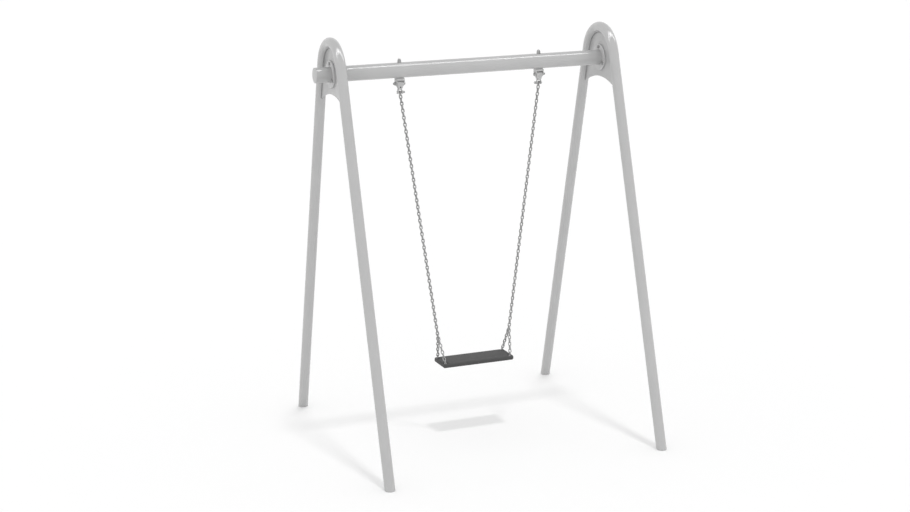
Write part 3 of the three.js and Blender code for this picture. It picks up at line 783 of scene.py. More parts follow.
@dataclass(frozen=True)
class BrightZinc(Finish):
    """Plated zinc on fasteners: smoother and darker than the dipped kind."""

    slot: str = "galvanised"
    colour: Colour = grey(158)
    swing: float = 0.06
    roughness: Pair = (0.24, 0.36)
    sheen: float = 0.3
    cloud: float = 3.0
    tarnish: float = 2.0
    grain: float = 0.5
    grain_height: float = 0.008

    def mix(self, recipe: Recipe) -> Recipe:
        """Fills in the recipe.

        Args:
            recipe: The plain recipe.

        Returns:
            The same recipe.
        """
        recipe.tint(recipe.noise(self.cloud, detail=4.0), self.colour, self.swing)
        recipe.roughen(recipe.noise(self.tarnish, detail=3.0), *self.roughness)
        recipe.emboss((recipe.noise(self.grain), self.grain_height))
        recipe.shader.inputs["Metallic"].default_value = self.sheen
        return recipe


@dataclass(frozen=True)
class MouldedPlastic(Finish):
    """Moulded plastic with a fine spark-eroded grain."""

    slot: str = "grey_plastic"
    colour: Colour = grey(182)
    swing: float = 0.04
    roughness: Pair = (0.46, 0.58)
    flow: float = 30.0
    wear: float = 6.0
    grain: float = 0.5
    grain_height: float = 0.015

    def mix(self, recipe: Recipe) -> Recipe:
        """Fills in the recipe.

        Args:
            recipe: The plain recipe.

        Returns:
            The same recipe.
        """
        recipe.tint(recipe.noise(self.flow, detail=3.0), self.colour, self.swing)
        recipe.roughen(recipe.noise(self.wear), *self.roughness)
        recipe.emboss((recipe.noise(self.grain, detail=1.0), self.grain_height))
        return recipe


@dataclass(frozen=True)
class MouldedRubber(Finish):
    """Moulded rubber: a fine leathery grain, paler where it is rubbed."""

    slot: str = "seat_rubber"
    colour: Colour = grey(73)
    swing: float = 0.07
    roughness: Pair = (0.66, 0.82)
    specular: float = 0.3
    rubbing: float = 55.0
    wear: float = 9.0
    grain: float = 0.9
    grain_height: float = 0.05
    pebble: float = 1.6
    pebble_height: float = 0.02

    def mix(self, recipe: Recipe) -> Recipe:
        """Fills in the recipe.

        Args:
            recipe: The plain recipe.

        Returns:
            The same recipe.
        """
        recipe.tint(recipe.noise(self.rubbing, detail=5.0), self.colour, self.swing)
        recipe.roughen(recipe.noise(self.wear, detail=3.0), *self.roughness)
        recipe.emboss((recipe.noise(self.grain), self.grain_height),
                      (recipe.cells(self.pebble), self.pebble_height))
        recipe.shader.inputs["Specular IOR Level"].default_value = self.specular
        return recipe


PAINT = StovePaint()
SHADED_SHEET_PAINT = ShadedSheetPaint()
SHADED_SEAM_PAINT = ShadedSeamPaint()
ZINC = Zinc()
CHAIN_ZINC = ChainZinc()
SHADED_PIN_ZINC = ShadedPinZinc()
BRIGHT_ZINC = BrightZinc()
GREY_PLASTIC = MouldedPlastic()
RUBBER = MouldedRubber()


@dataclass
class SubAssembly:
    """A group of pieces that are built together."""

    def fit(self, piece: Workpiece, name: str, place: Matrix, body: Body, finish: Finish, *nodes: str,
            smooth: float = 35.0) -> None:
        """Sets a finished piece in its place, dresses it and ties it to its body.

        Args:
            piece: The piece, in millimetres.
            name: Its name.
            place: Its place, in millimetres.
            body: The body that it rides on.
            finish: Its finish.
            nodes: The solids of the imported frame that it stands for.
            smooth: The angle in degrees up to which its faces shade as one.
        """
        piece.put(Matrix.Scale(MM, 4) @ place)
        piece.take()
        bpy.ops.object.shade_smooth_by_angle(angle=math.radians(smooth))
        obj = piece.obj
        obj.name = name
        obj.data.name = name
        obj.data.materials.clear()
        obj.data.materials.append(finish.material())
        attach(obj, body.value)
        if nodes:
            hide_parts(*nodes)
        LOG.info("%s: %d faces on %s", name, len(obj.data.polygons), body.value)


@dataclass(frozen=True)
class Layout:
    """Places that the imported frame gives, in millimetres."""

    beam_height: float
    frame_x: float
    hanger_x: float
    pivot_height: float
    fork_x: float
    fork_height: float
    seat_top: float

    @classmethod
    def read(cls) -> "Layout":
        """Reads the places from the frame's boxes and joints.

        Returns:
            The layout.
        """
        joints = {joint["name"]: [part / MM for part in joint["pos_m"]] for joint in frame["joints"]}
        beam_low, beam_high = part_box("cross_beam")
        leg_low, leg_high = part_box("end_frame_right")
        return cls(
            beam_height=(beam_low.z + beam_high.z) / 2 / MM,
            frame_x=(leg_low.x + leg_high.x) / 2 / MM,
            hanger_x=joints["right_swing"][0],
            pivot_height=joints["left_swing"][2],
            fork_x=-joints["seat_tilt"][0],
            fork_height=joints["seat_tilt"][2],
            seat_top=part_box("seat_pad")[1].z / MM,
        )


@dataclass(frozen=True)
class HexBolt:
    """A hexagon bolt, upright, with the underside of its head at the origin."""

    radius: float
    flats: float
    head: float
    length: float
    thread: float
    pitch: float = 1.5
    thread_depth: float = 0.7

    def build(self) -> Workpiece:
        """Builds the bolt, its shank downwards.

        Returns:
            The bolt.
        """
        head = hexagon(self.flats, self.head)
        end = -self.length
        root = self.radius - self.thread_depth
        groove = end + self.thread
        profile = [(0.0, self.head / 2), (self.radius, self.head / 2), (self.radius, groove)]
        while groove - self.pitch > end + self.pitch:
            profile += [(root, groove - self.pitch / 2), (self.radius, groove - self.pitch)]
            groove -= self.pitch
        profile += [(self.radius, end + self.thread_depth), (root, end), (0.0, end)]
        return head.grow(Workpiece.turned(profile, sides=SMALL_SIDES))


@dataclass(frozen=True)
class HexNut:
    """A hexagon nut, upright on the origin."""

    radius: float
    flats: float
    height: float

    def build(self) -> Workpiece:
        """Builds the nut, chamfered on both faces.

        Returns:
            The nut.
        """
        nut = hexagon(self.flats, self.height, both_faces=True)
        middle = Vector((0, 0, self.height / 2))
        return nut.cut(Workpiece.bar(self.radius, self.height + CUT_OVERRUN, at=middle))


def hexagon(flats: float, height: float, both_faces: bool = False) -> Workpiece:
    """A hexagon head with the round chamfer of its top face, upright on the origin.

    Args:
        flats: Width across its flats.
        height: Its height.
        both_faces: True where the lower face is chamfered too.

    Returns:
        The head.
    """
    corner = flats / math.sqrt(3)
    face = CHAMFER_FACE * flats
    drop = (corner - face) * math.tan(CHAMFER_ANGLE)
    low = [(face, 0.0), (corner + FIT_GAP, drop)] if both_faces else [(corner + FIT_GAP, 0.0)]
    profile = [(0.0, 0.0), *low, (corner + FIT_GAP, height - drop), (face, height), (0.0, height)]
    head = Workpiece.bar(corner, height, at=Vector((0, 0, height / 2)), sides=6)
    return head.combine("INTERSECT", Workpiece.turned(profile, sides=SMALL_SIDES))


@dataclass
class CrossBeam(SubAssembly):
    """The round beam with a cap in each end."""

    layout: Layout
    length: float = 1900.0
    radius: float = 44.45
    wall: float = 4.0
    cap_crown: float = 6.0
    cap_rim: float = 5.0
    cap_spigot: float = 24.0
    cap_chamfer: float = 1.0
    bolt_hole_radius: float = 6.3

    def build(self) -> None:
        """Builds the beam and both caps."""
        place = shift(z=self.layout.beam_height)
        self.fit(self.tube(), "beam_tube", place, Body.FRAME, PAINT, "cross_beam")
        cap = self.cap()
        for side in Side:
            seat = place @ side.half_turn @ shift(x=-(self.length / 2 - self.cap_crown))
            self.fit(cap.copy(), f"beam_end_cap_{side.word}", seat, Body.FRAME, GREY_PLASTIC,
                     f"beam_cap_{side.word}")
        bpy.data.objects.remove(cap.obj)

    def tube(self) -> Workpiece:
        """The tube, about its own axis, with its hanger bolt holes.

        Returns:
            The tube.
        """
        length = self.length - 2 * (self.cap_crown + FIT_GAP)
        rod = Rod(self.radius, ROUND_SIDES, Vector((-length / 2, 0, 0)), Vector((1, 0, 0)))
        tube = rod.straight(Vector((length, 0, 0))).done(capped=False)
        tube.modify("SOLIDIFY", thickness=self.wall, offset=-1.0)
        holes = [
            Workpiece.bar(self.bolt_hole_radius, 2 * self.radius + CUT_OVERRUN,
                          at=Vector((side.value * self.layout.hanger_x, 0, 0)))
            for side in Side
        ]
        return tube.cut(*holes)

    def cap(self) -> Workpiece:
        """The left cap, its rim's back at the origin and its crown towards -X.

        Returns:
            The cap.
        """
        spigot = self.radius - self.wall - FIT_GAP
        edge = self.cap_chamfer
        flank = self.cap_rim / 2
        crown = dome(self.radius, flank, self.cap_crown - flank, step=15)
        profile = [(0.0, -self.cap_spigot), (spigot - edge, -self.cap_spigot), (spigot, edge - self.cap_spigot),
                   (spigot, 0.0), (self.radius, 0.0), *crown, (0.0, self.cap_crown)]
        return Workpiece.turned(profile, Axis.MINUS_X)


@dataclass
class EndFrame(SubAssembly):
    """One end frame: the bent tube, its feet, the plate in its arch, and the flanges that hold the beam."""

    layout: Layout
    side: Side
    foot_spread: float = 1660.0
    tube_radius: float = 30.15
    tube_wall: float = 3.2
    bend_radius: float = 180.0
    bend_steps: int = 48
    sole: float = 5.0
    sole_rounding: float = 1.0
    spigot: float = 32.0
    web_thickness: float = 8.0
    web_rounding: float = 0.8
    web_drop: float = 115.0
    web_arch_radius: float = 430.0
    weld_radius: float = 3.4
    weld_sides: int = 8
    weld_lift: float = 1.0
    weld_pitch: float = 2.4
    weld_ripple: float = 0.9
    ripple_share: float = 1.6
    beam_radius: float = 44.45
    flange_radius: float = 80.0
    flange_thickness: float = 9.0
    flange_rounding: float = 3.0
    flange_chamfer: float = 1.5
    bolt_circle: float = 62.0
    bolt_count: int = 3
    screw: HexBolt = HexBolt(radius=5.0, flats=17.0, head=6.4, length=38.0, thread=16.0)
    nut: HexNut = HexNut(radius=5.0, flats=17.0, height=8.4)
    origin: Matrix = field(init=False)
    head: Matrix = field(init=False)

    def __post_init__(self) -> None:
        """Sets the places of the frame's foot and head."""
        self.origin = shift(x=self.side.value * self.layout.frame_x)
        self.head = self.origin @ shift(z=self.layout.beam_height) @ self.side.half_turn

    @property
    def half_angle(self) -> float:
        """Angle from the top of the arch to where a leg starts.

        Returns:
            The angle in radians.
        """
        half = self.foot_spread / 2
        rise = self.layout.beam_height
        return math.atan2(rise, half) + math.asin(self.bend_radius / math.hypot(rise, half))

    @property
    def splay(self) -> float:
        """The legs' angle from the upright."""
        return math.pi / 2 - self.half_angle

    def build(self) -> None:
        """Builds every piece of the frame."""
        word = self.side.word
        self.fit(self.tube(), f"frame_tube_{word}", self.origin, Body.FRAME, PAINT, f"end_frame_{word}")
        for place in Place:
            foot = self.origin @ shift(y=place.value * self.foot_spread / 2)
            self.fit(self.foot(place), f"foot_{word}_{place.word}", foot, Body.FRAME, GREY_PLASTIC,
                     f"foot_plug_{word}_{place.word}")
        # the plates take the coat darkened as painted shade
        self.fit(self.web(), f"arch_plate_{word}", self.head, Body.FRAME, SHADED_SHEET_PAINT, f"web_plate_{word}")
        for name, sign in (("inner", 1), ("outer", -1)):
            seat = self.head @ shift(x=sign * (self.web_thickness / 2 + self.weld_lift))
            # the weld beads take the coat darkened as painted shade of the corner
            self.fit(self.weld(), f"arch_weld_{word}_{name}", seat, Body.FRAME, SHADED_SEAM_PAINT, smooth=60.0)
            flange = self.flange(Axis.X if sign > 0 else Axis.MINUS_X)
            seat = self.head @ shift(x=sign * (self.web_thickness / 2 + FIT_GAP))
            self.fit(flange, f"beam_flange_{word}_{name}", seat, Body.FRAME, PAINT, f"flange_{word}_{name}")
        self.fasten()

    def tube(self) -> Workpiece:
        """The bent tube, its feet cut level.

        Returns:
            The tube.
        """
        run = Vector((0, math.sin(self.splay), math.cos(self.splay)))
        start = Vector((0, -self.foot_spread / 2, 0)) - run * 2 * self.tube_radius
        tangent = Vector((0, -self.bend_radius * math.sin(self.half_angle),
                          self.layout.beam_height + self.bend_radius * math.cos(self.half_angle)))
        leg = tangent - start
        rod = Rod(self.tube_radius, ROUND_SIDES, start, run)
        rod.straight(leg)
        centre = Vector((0, 0, self.layout.beam_height))
        rod.bend(2 * self.half_angle, centre, Vector((-1, 0, 0)), self.bend_steps)
        rod.straight(Vector((0, leg.y, -leg.z)))
        tube = rod.done(capped=False)
        tube.halve(Vector((0, 0, self.sole + FIT_GAP)), Vector((0, 0, 1)), filled=False)
        return tube.modify("SOLIDIFY", thickness=self.tube_wall, offset=-1.0)

    def foot(self, place: Place) -> Workpiece:
        """A foot: a level sole with a spigot in the leg.

        Args:
            place: Front or back.

        Returns:
            The foot, about its middle on the ground.
        """
        lean = Matrix.Rotation(place.value * self.splay, 4, "X")
        reach = 4 * self.tube_radius
        up = Vector((0, 0, 1))
        sole = Workpiece.bar(self.tube_radius, reach, sides=ROUND_SIDES).put(lean)
        sole.halve(Vector(), up, filled=True).halve(Vector((0, 0, self.sole)), -up, filled=True)
        sole.round_edges(self.sole_rounding)
        bore = self.tube_radius - self.tube_wall - FIT_GAP
        spigot = Workpiece.bar(bore, reach, sides=ROUND_SIDES).put(lean)
        spigot.halve(Vector((0, 0, self.sole / 2)), up, filled=True)
        spigot.halve(Vector((0, 0, self.sole / 2 + self.spigot)), -up, filled=True)
        return sole.grow(spigot)

    def web_corner(self, rim: float) -> Pair:
        """Where the plate's lower arch meets the line of the leg.

        Args:
            rim: Radius of the plate's rim in the arch.

        Returns:
            The corner's distance from the middle and its height above the beam's axis.
        """
        centre = -self.web_drop - self.web_arch_radius
        start = Vector((rim * math.sin(self.half_angle), rim * math.cos(self.half_angle) - centre))
        run = Vector((math.cos(self.half_angle), -math.sin(self.half_angle)))
        half = start.dot(run)
        travel = -half - math.sqrt(half ** 2 - start.length_squared + self.web_arch_radius ** 2)
        corner = start + run * travel
        return corner.x, corner.y + centre

    def web(self) -> Workpiece:
        """The plate in the arch, about the beam's axis, with its holes.

        Returns:
            The plate.
        """
        rim = self.bend_radius - self.tube_radius - FIT_GAP
        corner_y, _ = self.web_corner(rim)
        upper = math.pi / 2
        sweep = math.asin(corner_y / self.web_arch_radius)
        centre = (0.0, -self.web_drop - self.web_arch_radius)
        outline = [
            *arc(rim, upper + self.half_angle, upper - self.half_angle, self.bend_steps),
            *arc(self.web_arch_radius, upper - sweep, upper + sweep, self.bend_steps, centre),
        ]
        plate = Workpiece.plate(outline, self.web_thickness, Axis.X)
        through = self.web_thickness + CUT_OVERRUN
        beam = Workpiece.bar(self.beam_radius + FIT_GAP, through, Axis.X, sides=ROUND_SIDES)
        return plate.cut(beam, *self.holes(through)).round_edges(self.web_rounding)

    def holes(self, length: float) -> list[Workpiece]:
        """Bars where the flange's bolt holes go."""
        return [Workpiece.bar(self.screw.radius + FIT_GAP, length, Axis.X, Vector((0, y, z)))
                for y, z in self.bolt_places()]

    def bolt_places(self) -> list[Pair]:
        """Places of the flange's bolts round the beam, the first on top."""
        angles = [math.radians(90 - 360 * index / self.bolt_count) for index in range(self.bolt_count)]
        return [(self.bolt_circle * math.cos(a), self.bolt_circle * math.sin(a)) for a in angles]

    def weld(self) -> Workpiece:
        """A weld bead along the corner of tube and plate, with the ripples of its run.

        Returns:
            The bead.
        """
        rim = self.bend_radius - self.tube_radius
        _, corner_z = self.web_corner(rim)
        run = Vector((0, math.sin(self.splay), math.cos(self.splay)))
        tangent = Vector((0, -rim * math.sin(self.half_angle), rim * math.cos(self.half_angle)))
        leg = run * ((tangent.z - corner_z - 2 * self.weld_radius) / run.z)
        steps = round(leg.length / self.weld_pitch)
        rod = Rod(self.weld_radius, self.weld_sides, tangent - leg, run)
        for _ in range(steps):
            rod.straight(leg / steps)
        turns = round(2 * self.half_angle * rim / self.weld_pitch)
        rod.bend(2 * self.half_angle, Vector(), Vector((-1, 0, 0)), turns)
        for _ in range(steps):
            rod.straight(Vector((0, leg.y, -leg.z)) / steps)
        bead = rod.done(capped=True)
        ripples = bpy.data.textures.new("weld_ripples", "CLOUDS")
        ripples.noise_scale = self.weld_pitch * self.ripple_share
        return bead.modify("DISPLACE", texture=ripples, strength=self.weld_ripple, texture_coords="LOCAL")

    def flange(self, axis: Axis) -> Workpiece:
        """A flange with its back at the origin.

        Args:
            axis: The direction of its rounded face.

        Returns:
            The flange.
        """
        bore = self.beam_radius + FIT_GAP
        inset = self.flange_rounding
        edge = self.flange_chamfer
        corner = (self.flange_radius - inset, self.flange_thickness - inset)
        rounding = arc(inset, 0.0, math.pi / 2, steps=5, centre=corner)
        profile = [(bore, 0.0), (self.flange_radius, 0.0), *rounding,
                   (bore + edge, self.flange_thickness), (bore, self.flange_thickness - edge), (bore, 0.0)]
        body = Workpiece.turned(profile, axis)
        return body.cut(*self.holes(3 * self.flange_thickness))

    def fasten(self) -> None:
        """Sets a bolt and a nut in each flange hole."""
        face = self.web_thickness / 2 + FIT_GAP + self.flange_thickness + FIT_GAP
        screw = self.screw.build().put(shift(x=-face) @ Axis.MINUS_X.turn)
        nut = self.nut.build().put(shift(x=face) @ Axis.X.turn)
        for index, (y, z) in enumerate(self.bolt_places(), 1):
            where = f"{self.side.word}_{index}"
            seat = self.head @ shift(y=y, z=z)
            for piece, name, node in ((screw, "flange_screw", "flange_bolt"), (nut, "screw_nut", "flange_nut")):
                self.fit(piece.copy(), f"{name}_{where}", seat, Body.FRAME, BRIGHT_ZINC, f"{node}_{where}")
        bpy.data.objects.remove(screw.obj)
        bpy.data.objects.remove(nut.obj)


@dataclass(frozen=True)
class LockNut:
    """A hexagon nut with a round locking collar on top, upright on the origin."""

    radius: float
    flats: float
    hex_height: float
    height: float
    collar_radius: float
    rounding: float = 2.0

    def build(self) -> Workpiece:
        """Builds the nut, its collar rounded over.

        Returns:
            The nut.
        """
        inset = self.rounding
        start = self.hex_height / 2
        corner = (self.collar_radius - inset, self.height - inset)
        crown = arc(inset, 0.0, math.pi / 2, steps=4, centre=corner)
        profile = [(0.0, start), (self.collar_radius, start), *crown, (0.0, self.height)]
        nut = hexagon(self.flats, self.hex_height, both_faces=True)
        nut.grow(Workpiece.turned(profile, sides=SMALL_SIDES))
        return nut.cut(Workpiece.bar(self.radius, 3 * self.height))


@dataclass
class Hanger(SubAssembly):
    """One hanger: pad, yoke and bolt under the beam, and the swivel with its shackle on the pivot."""

    layout: Layout
    side: Side
    beam_radius: float = 44.45
    pad_width: float = 46.0
    pad_depth: float = 26.0
    pad_thickness: float = 3.0
    pad_corner: float = 2.0
    pad_rounding: float = 0.4
    yoke_width: float = 50.0
    yoke_depth: float = 40.0
    cast_rounding: float = 1.2
    block_drop: float = 15.0
    cheek: float = 5.0
    cheek_radius: float = 13.0
    cheek_shoulder: float = 10.0
    pivot_drop: float = 33.0
    bolt_radius: float = 6.0
    bolt_flats: float = 18.0
    bolt_head: float = 5.5
    bolt_thread: float = 14.0
    head_room: float = 0.8
    washer_radius: float = 12.0
    washer_thickness: float = 2.5
    washer_chamfer: float = 0.4
    nut_flats: float = 19.0
    nut_hex: float = 11.0
    dome_radius: float = 8.5
    dome_height: float = 12.0
    nut_bore: float = 15.0
    pivot_radius: float = 5.0
    pivot_flats: float = 17.0
    pivot_head: float = 6.4
    pivot_thread: float = 18.0
    pivot_end: float = 3.0
    pivot_nut: LockNut = LockNut(radius=5.0, flats=17.0, hex_height=8.5, height=12.0, collar_radius=7.4)
    run_gap: float = 0.5
    housing_radius: float = 16.0
    shoulder_drop: float = 9.0
    taper_half: float = 11.0
    taper_drop: float = 27.0
    toe_half: float = 6.0
    toe_drop: float = 35.5
    fork_room: float = 0.6
    cross_pin_radius: float = 4.0
    cross_pin_drop: float = 21.0
    cross_pin_recess: float = 8.0
    cross_pin_cover: float = 4.0
    pin_chamfer: float = 0.8
    mouth_depth: float = 0.8
    mouth_flare: float = 1.8
    wire: float = 4.5
    wire_sides: int = 20
    bow_steps: int = 20
    bow_radius: float = 9.5
    foot_half: float = 13.3
    pin_drop: float = 50.5
    pin_radius: float = 4.0
    pin_tip: float = 0.6
    ear_radius: float = 10.0
    ear_width: float = 8.0
    ear_rounding: float = 1.6
    collar_radius: float = 6.5
    collar_width: float = 3.0
    tab_radius: float = 7.0
    tab_thickness: float = 4.0
    tab_rounding: float = 0.8
    tab_hole: float = 2.2
    tab_hole_shift: float = 1.2

    @property
    def beam(self) -> Matrix:
        """The hanger's place about the beam's axis, its outer side towards the beam's end."""
        x = self.side.value * self.layout.hanger_x
        return shift(x, 0, self.layout.beam_height) @ self.side.half_turn

    @property
    def pivot(self) -> Matrix:
        """The place of the pivot's axis."""
        return self.beam @ shift(z=-self.beam_radius - self.pivot_drop)

    @property
    def inner_half(self) -> float:
        """Half the length of what turns between the cheeks."""
        return self.yoke_width / 2 - self.cheek - self.run_gap

    @property
    def bow_top(self) -> float:
        """Height of the middle of the shackle's bow above the pivot."""
        return self.cross_pin_radius + FIT_GAP + self.wire - self.cross_pin_drop

    def build(self) -> None:
        """Builds every piece of the hanger."""
        word = self.side.word
        moving = Body.suspension(self.side)
        top = self.beam_radius + FIT_GAP
        nut_base = top + self.washer_thickness + FIT_GAP
        head_base = -self.beam_radius - self.block_drop + self.head_room
        for piece, name, finish, node, offset in (
            (self.pad(), "beam_pad", ZINC, "saddle_pad", 0.0),
            (self.yoke(), "yoke", ZINC, "hanger_yoke", 0.0),
            (self.washer(), "beam_washer", BRIGHT_ZINC, "hanger_washer", top),
            (self.dome_nut(), "dome_nut", BRIGHT_ZINC, "cap_nut", nut_base),
            (self.yoke_bolt(head_base, nut_base), "yoke_bolt", BRIGHT_ZINC, "hanger_bolt", head_base),
        ):
            self.fit(piece, f"{name}_{word}", self.beam @ shift(z=offset), Body.FRAME, finish, f"{node}_{word}")
        face = self.yoke_width / 2 + FIT_GAP
        length = 2 * face + self.pivot_nut.height + self.pivot_end
        bolt = HexBolt(self.pivot_radius, self.pivot_flats, self.pivot_head, length, self.pivot_thread)
        screw = bolt.build().put(shift(x=face) @ Axis.X.turn)
        nut = self.pivot_nut.build().put(shift(x=-face) @ Axis.MINUS_X.turn)
        for piece, name, finish, node, body in (
            (screw, "swivel_screw", BRIGHT_ZINC, "pivot_bolt", Body.FRAME),
            (nut, "swivel_nut", BRIGHT_ZINC, "pivot_nut", Body.FRAME),
            (self.swivel(), "swivel", ZINC, "pendulum", moving),
            # the cross pin is painted dark as the shade of its bore
            (self.cross_pin(), "swivel_pin", SHADED_PIN_ZINC, "cross_pin", moving),
            (self.shackle(), "bow_shackle", ZINC, "shackle", moving),
            (self.pin(), "shackle_screw", BRIGHT_ZINC, "shackle_pin", moving),
        ):
            self.fit(piece, f"{name}_{word}", self.pivot, body, finish, f"{node}_{word}")

    def pad(self) -> Workpiece:
        """The pad between beam and yoke, hollowed to the beam.

        Returns:
            The pad.
        """
        side = self.pad_depth / 2
        bottom = -self.beam_radius - self.pad_thickness
        height = self.pad_thickness + self.beam_radius - math.sqrt(self.beam_radius ** 2 - side ** 2)
        pad = Workpiece.block((self.pad_width, self.pad_depth, height), Vector((0, 0, bottom + height / 2)))
        pad.round_upright_edges(self.pad_corner, steps=4)
        pad.cut(
            Workpiece.bar(self.beam_radius + FIT_GAP, self.pad_width + CUT_OVERRUN, Axis.X, sides=ROUND_SIDES),
            Workpiece.bar(self.bolt_radius + FIT_GAP, 2 * self.beam_radius, at=Vector((0, 0, bottom))),
        )
        return pad.round_edges(self.pad_rounding)

    def yoke(self) -> Workpiece:
        """The yoke: a block with two cheeks that carry the pivot.

        Returns:
            The yoke.
        """
        top = -self.beam_radius - self.pad_thickness - FIT_GAP
        bottom = -self.beam_radius - self.block_drop
        pivot = -self.beam_radius - self.pivot_drop
        side = self.yoke_depth / 2
        shoulder = bottom - self.cheek_shoulder
        foot = arc(self.cheek_radius, -math.pi, 0.0, steps=20, centre=(0.0, pivot))
        outline = [(-side, top), (-side, shoulder), *foot, (side, shoulder), (side, top)]
        yoke = Workpiece.plate(outline, self.yoke_width, Axis.X)
        slot = self.pivot_drop + self.cheek_radius - self.block_drop + CUT_OVERRUN
        size = (self.yoke_width - 2 * self.cheek, self.yoke_depth + CUT_OVERRUN, slot)
        yoke.cut(Workpiece.block(size, Vector((0, 0, bottom - slot / 2))))
        yoke.round_edges(self.cast_rounding, steps=3, angle=40.0)
        pocket = self.bolt_flats / math.sqrt(3) + self.head_room
        depth = self.bolt_head + self.head_room + FIT_GAP
        across = self.yoke_width + CUT_OVERRUN
        return yoke.cut(
            Workpiece.bar(self.pivot_radius + FIT_GAP, across, Axis.X, Vector((0, 0, pivot))),
            Workpiece.bar(self.bolt_radius + FIT_GAP, 2 * self.yoke_depth, at=Vector((0, 0, top))),
            Workpiece.bar(pocket, 2 * depth, at=Vector((0, 0, bottom))),
        )

    def yoke_bolt(self, head_base: float, nut_base: float) -> Workpiece:
        """The bolt from the yoke's pocket up into the dome nut, its head down.

        Args:
            head_base: Height of the head's lower face.
            nut_base: Height of the nut's lower face.

        Returns:
            The bolt, its head's lower face at the origin.
        """
        grip = nut_base + self.nut_hex - head_base - self.bolt_head
        bolt = HexBolt(self.bolt_radius, self.bolt_flats, self.bolt_head, grip, self.bolt_thread).build()
        return bolt.put(Matrix.Rotation(math.pi, 4, "X")).put(shift(z=self.bolt_head))

    def washer(self) -> Workpiece:
        """The washer, upright on the origin.

        Returns:
            The washer.
        """
        bore = self.bolt_radius + FIT_GAP
        rim, top, edge = self.washer_radius, self.washer_thickness, self.washer_chamfer
        return Workpiece.turned([(bore, 0.0), (rim, 0.0), (rim, top - edge), (rim - edge, top),
                                 (bore, top), (bore, 0.0)])

    def dome_nut(self) -> Workpiece:
        """The domed nut, upright on the origin, with its blind bore.

        Returns:
            The nut.
        """
        crown = dome(self.dome_radius, self.nut_hex, self.dome_height, step=10)
        profile = [(0.0, self.nut_hex / 2), (self.dome_radius, self.nut_hex / 2), *crown,
                   (0.0, self.nut_hex + self.dome_height)]
        nut = hexagon(self.nut_flats, self.nut_hex).grow(Workpiece.turned(profile, sides=SMALL_SIDES))
        return nut.cut(Workpiece.bar(self.bolt_radius + FIT_GAP, 2 * self.nut_bore))

    def swivel(self) -> Workpiece:
        """The swivel: a housing with a round top that tapers to a fork round the shackle's bow.

        Returns:
            The swivel.
        """
        half = self.inner_half
        radius = self.housing_radius
        over = 1.0
        flank = [(half, -self.shoulder_drop), (self.taper_half, -self.taper_drop),
                 (self.toe_half, -self.toe_drop)]
        front = [(-half, radius + over), *((-x, z) for x, z in flank), *reversed(flank), (half, radius + over)]
        low = -self.toe_drop - over
        end = [(radius, low), *arc(radius, 0.0, math.pi, steps=24), (-radius, low)]
        body = Workpiece.plate(end, 2 * (half + over), Axis.X)
        body.combine("INTERSECT", Workpiece.plate(front, 2 * (radius + over), Axis.Y))
        fork_top = self.bow_top + self.wire + self.run_gap
        slot = fork_top + self.toe_drop + CUT_OVERRUN
        width = 2 * (self.wire + self.fork_room)
        body.cut(Workpiece.block((3 * half, width, slot), Vector((0, 0, fork_top - slot / 2))))
        body.round_edges(self.cast_rounding, steps=3, angle=20.0)
        return body.cut(Workpiece.bar(self.pivot_radius + FIT_GAP, 3 * half, Axis.X), self.cross_bore())

    def cross_bore(self) -> Workpiece:
        """The tool of the blind bore for the cross pin, with the bore's flared mouth in front.

        Returns:
            The tool.
        """
        bore = self.cross_pin_radius + FIT_GAP
        flare = self.mouth_flare
        mouth = self.housing_radius - self.mouth_depth
        deep = self.housing_radius - self.cross_pin_cover + FIT_GAP
        profile = [(0.0, -deep), (bore, -deep), (bore, mouth), (bore + flare, mouth + flare),
                   (0.0, mouth + flare)]
        return Workpiece.turned(profile, Axis.MINUS_Y, SMALL_SIDES).put(shift(z=-self.cross_pin_drop))

    def cross_pin(self) -> Workpiece:
        """The cross pin in the fork, on which the shackle hangs.

        Returns:
            The pin.
        """
        front = self.cross_pin_recess - self.housing_radius
        back = self.housing_radius - self.cross_pin_cover
        radius = self.cross_pin_radius
        edge = self.pin_chamfer
        profile = [(0.0, front), (radius - edge, front), (radius, front + edge),
                   (radius, back - edge), (radius - edge, back), (0.0, back)]
        return Workpiece.turned(profile, Axis.Y, SMALL_SIDES).put(shift(z=-self.cross_pin_drop))

    def shackle(self) -> Workpiece:
        """The shackle: a bow over the cross pin with an ear for the pin at each foot.

        Returns:
            The shackle.
        """
        centre = Vector((0, 0, self.bow_top - self.bow_radius))
        foot = Vector((-self.foot_half, 0, -self.pin_drop))
        drop = centre.z - foot.z
        lean = math.atan2(self.foot_half, drop) - math.asin(self.bow_radius / math.hypot(self.foot_half, drop))
        shoulder = centre - self.bow_radius * Vector((math.cos(lean), 0, math.sin(lean)))
        leg = shoulder - foot
        rod = Rod(self.wire, self.wire_sides, foot, leg)
        rod.straight(leg).bend(math.pi + 2 * lean, centre, Vector((0, 1, 0)), self.bow_steps)
        bow = rod.straight(Vector((leg.x, 0, -leg.z))).done(capped=True)
        for outward in (-1, 1):
            middle = Vector((outward * self.foot_half, 0, -self.pin_drop))
            ear = Workpiece.bar(self.ear_radius, self.ear_width, Axis.X, middle)
            bow.grow(ear.round_edges(self.ear_rounding, steps=4))
        reach = 2 * (self.foot_half + self.ear_width)
        middle = Vector((0, 0, -self.pin_drop))
        return bow.cut(Workpiece.bar(self.pin_radius + FIT_GAP, reach, Axis.X, middle))

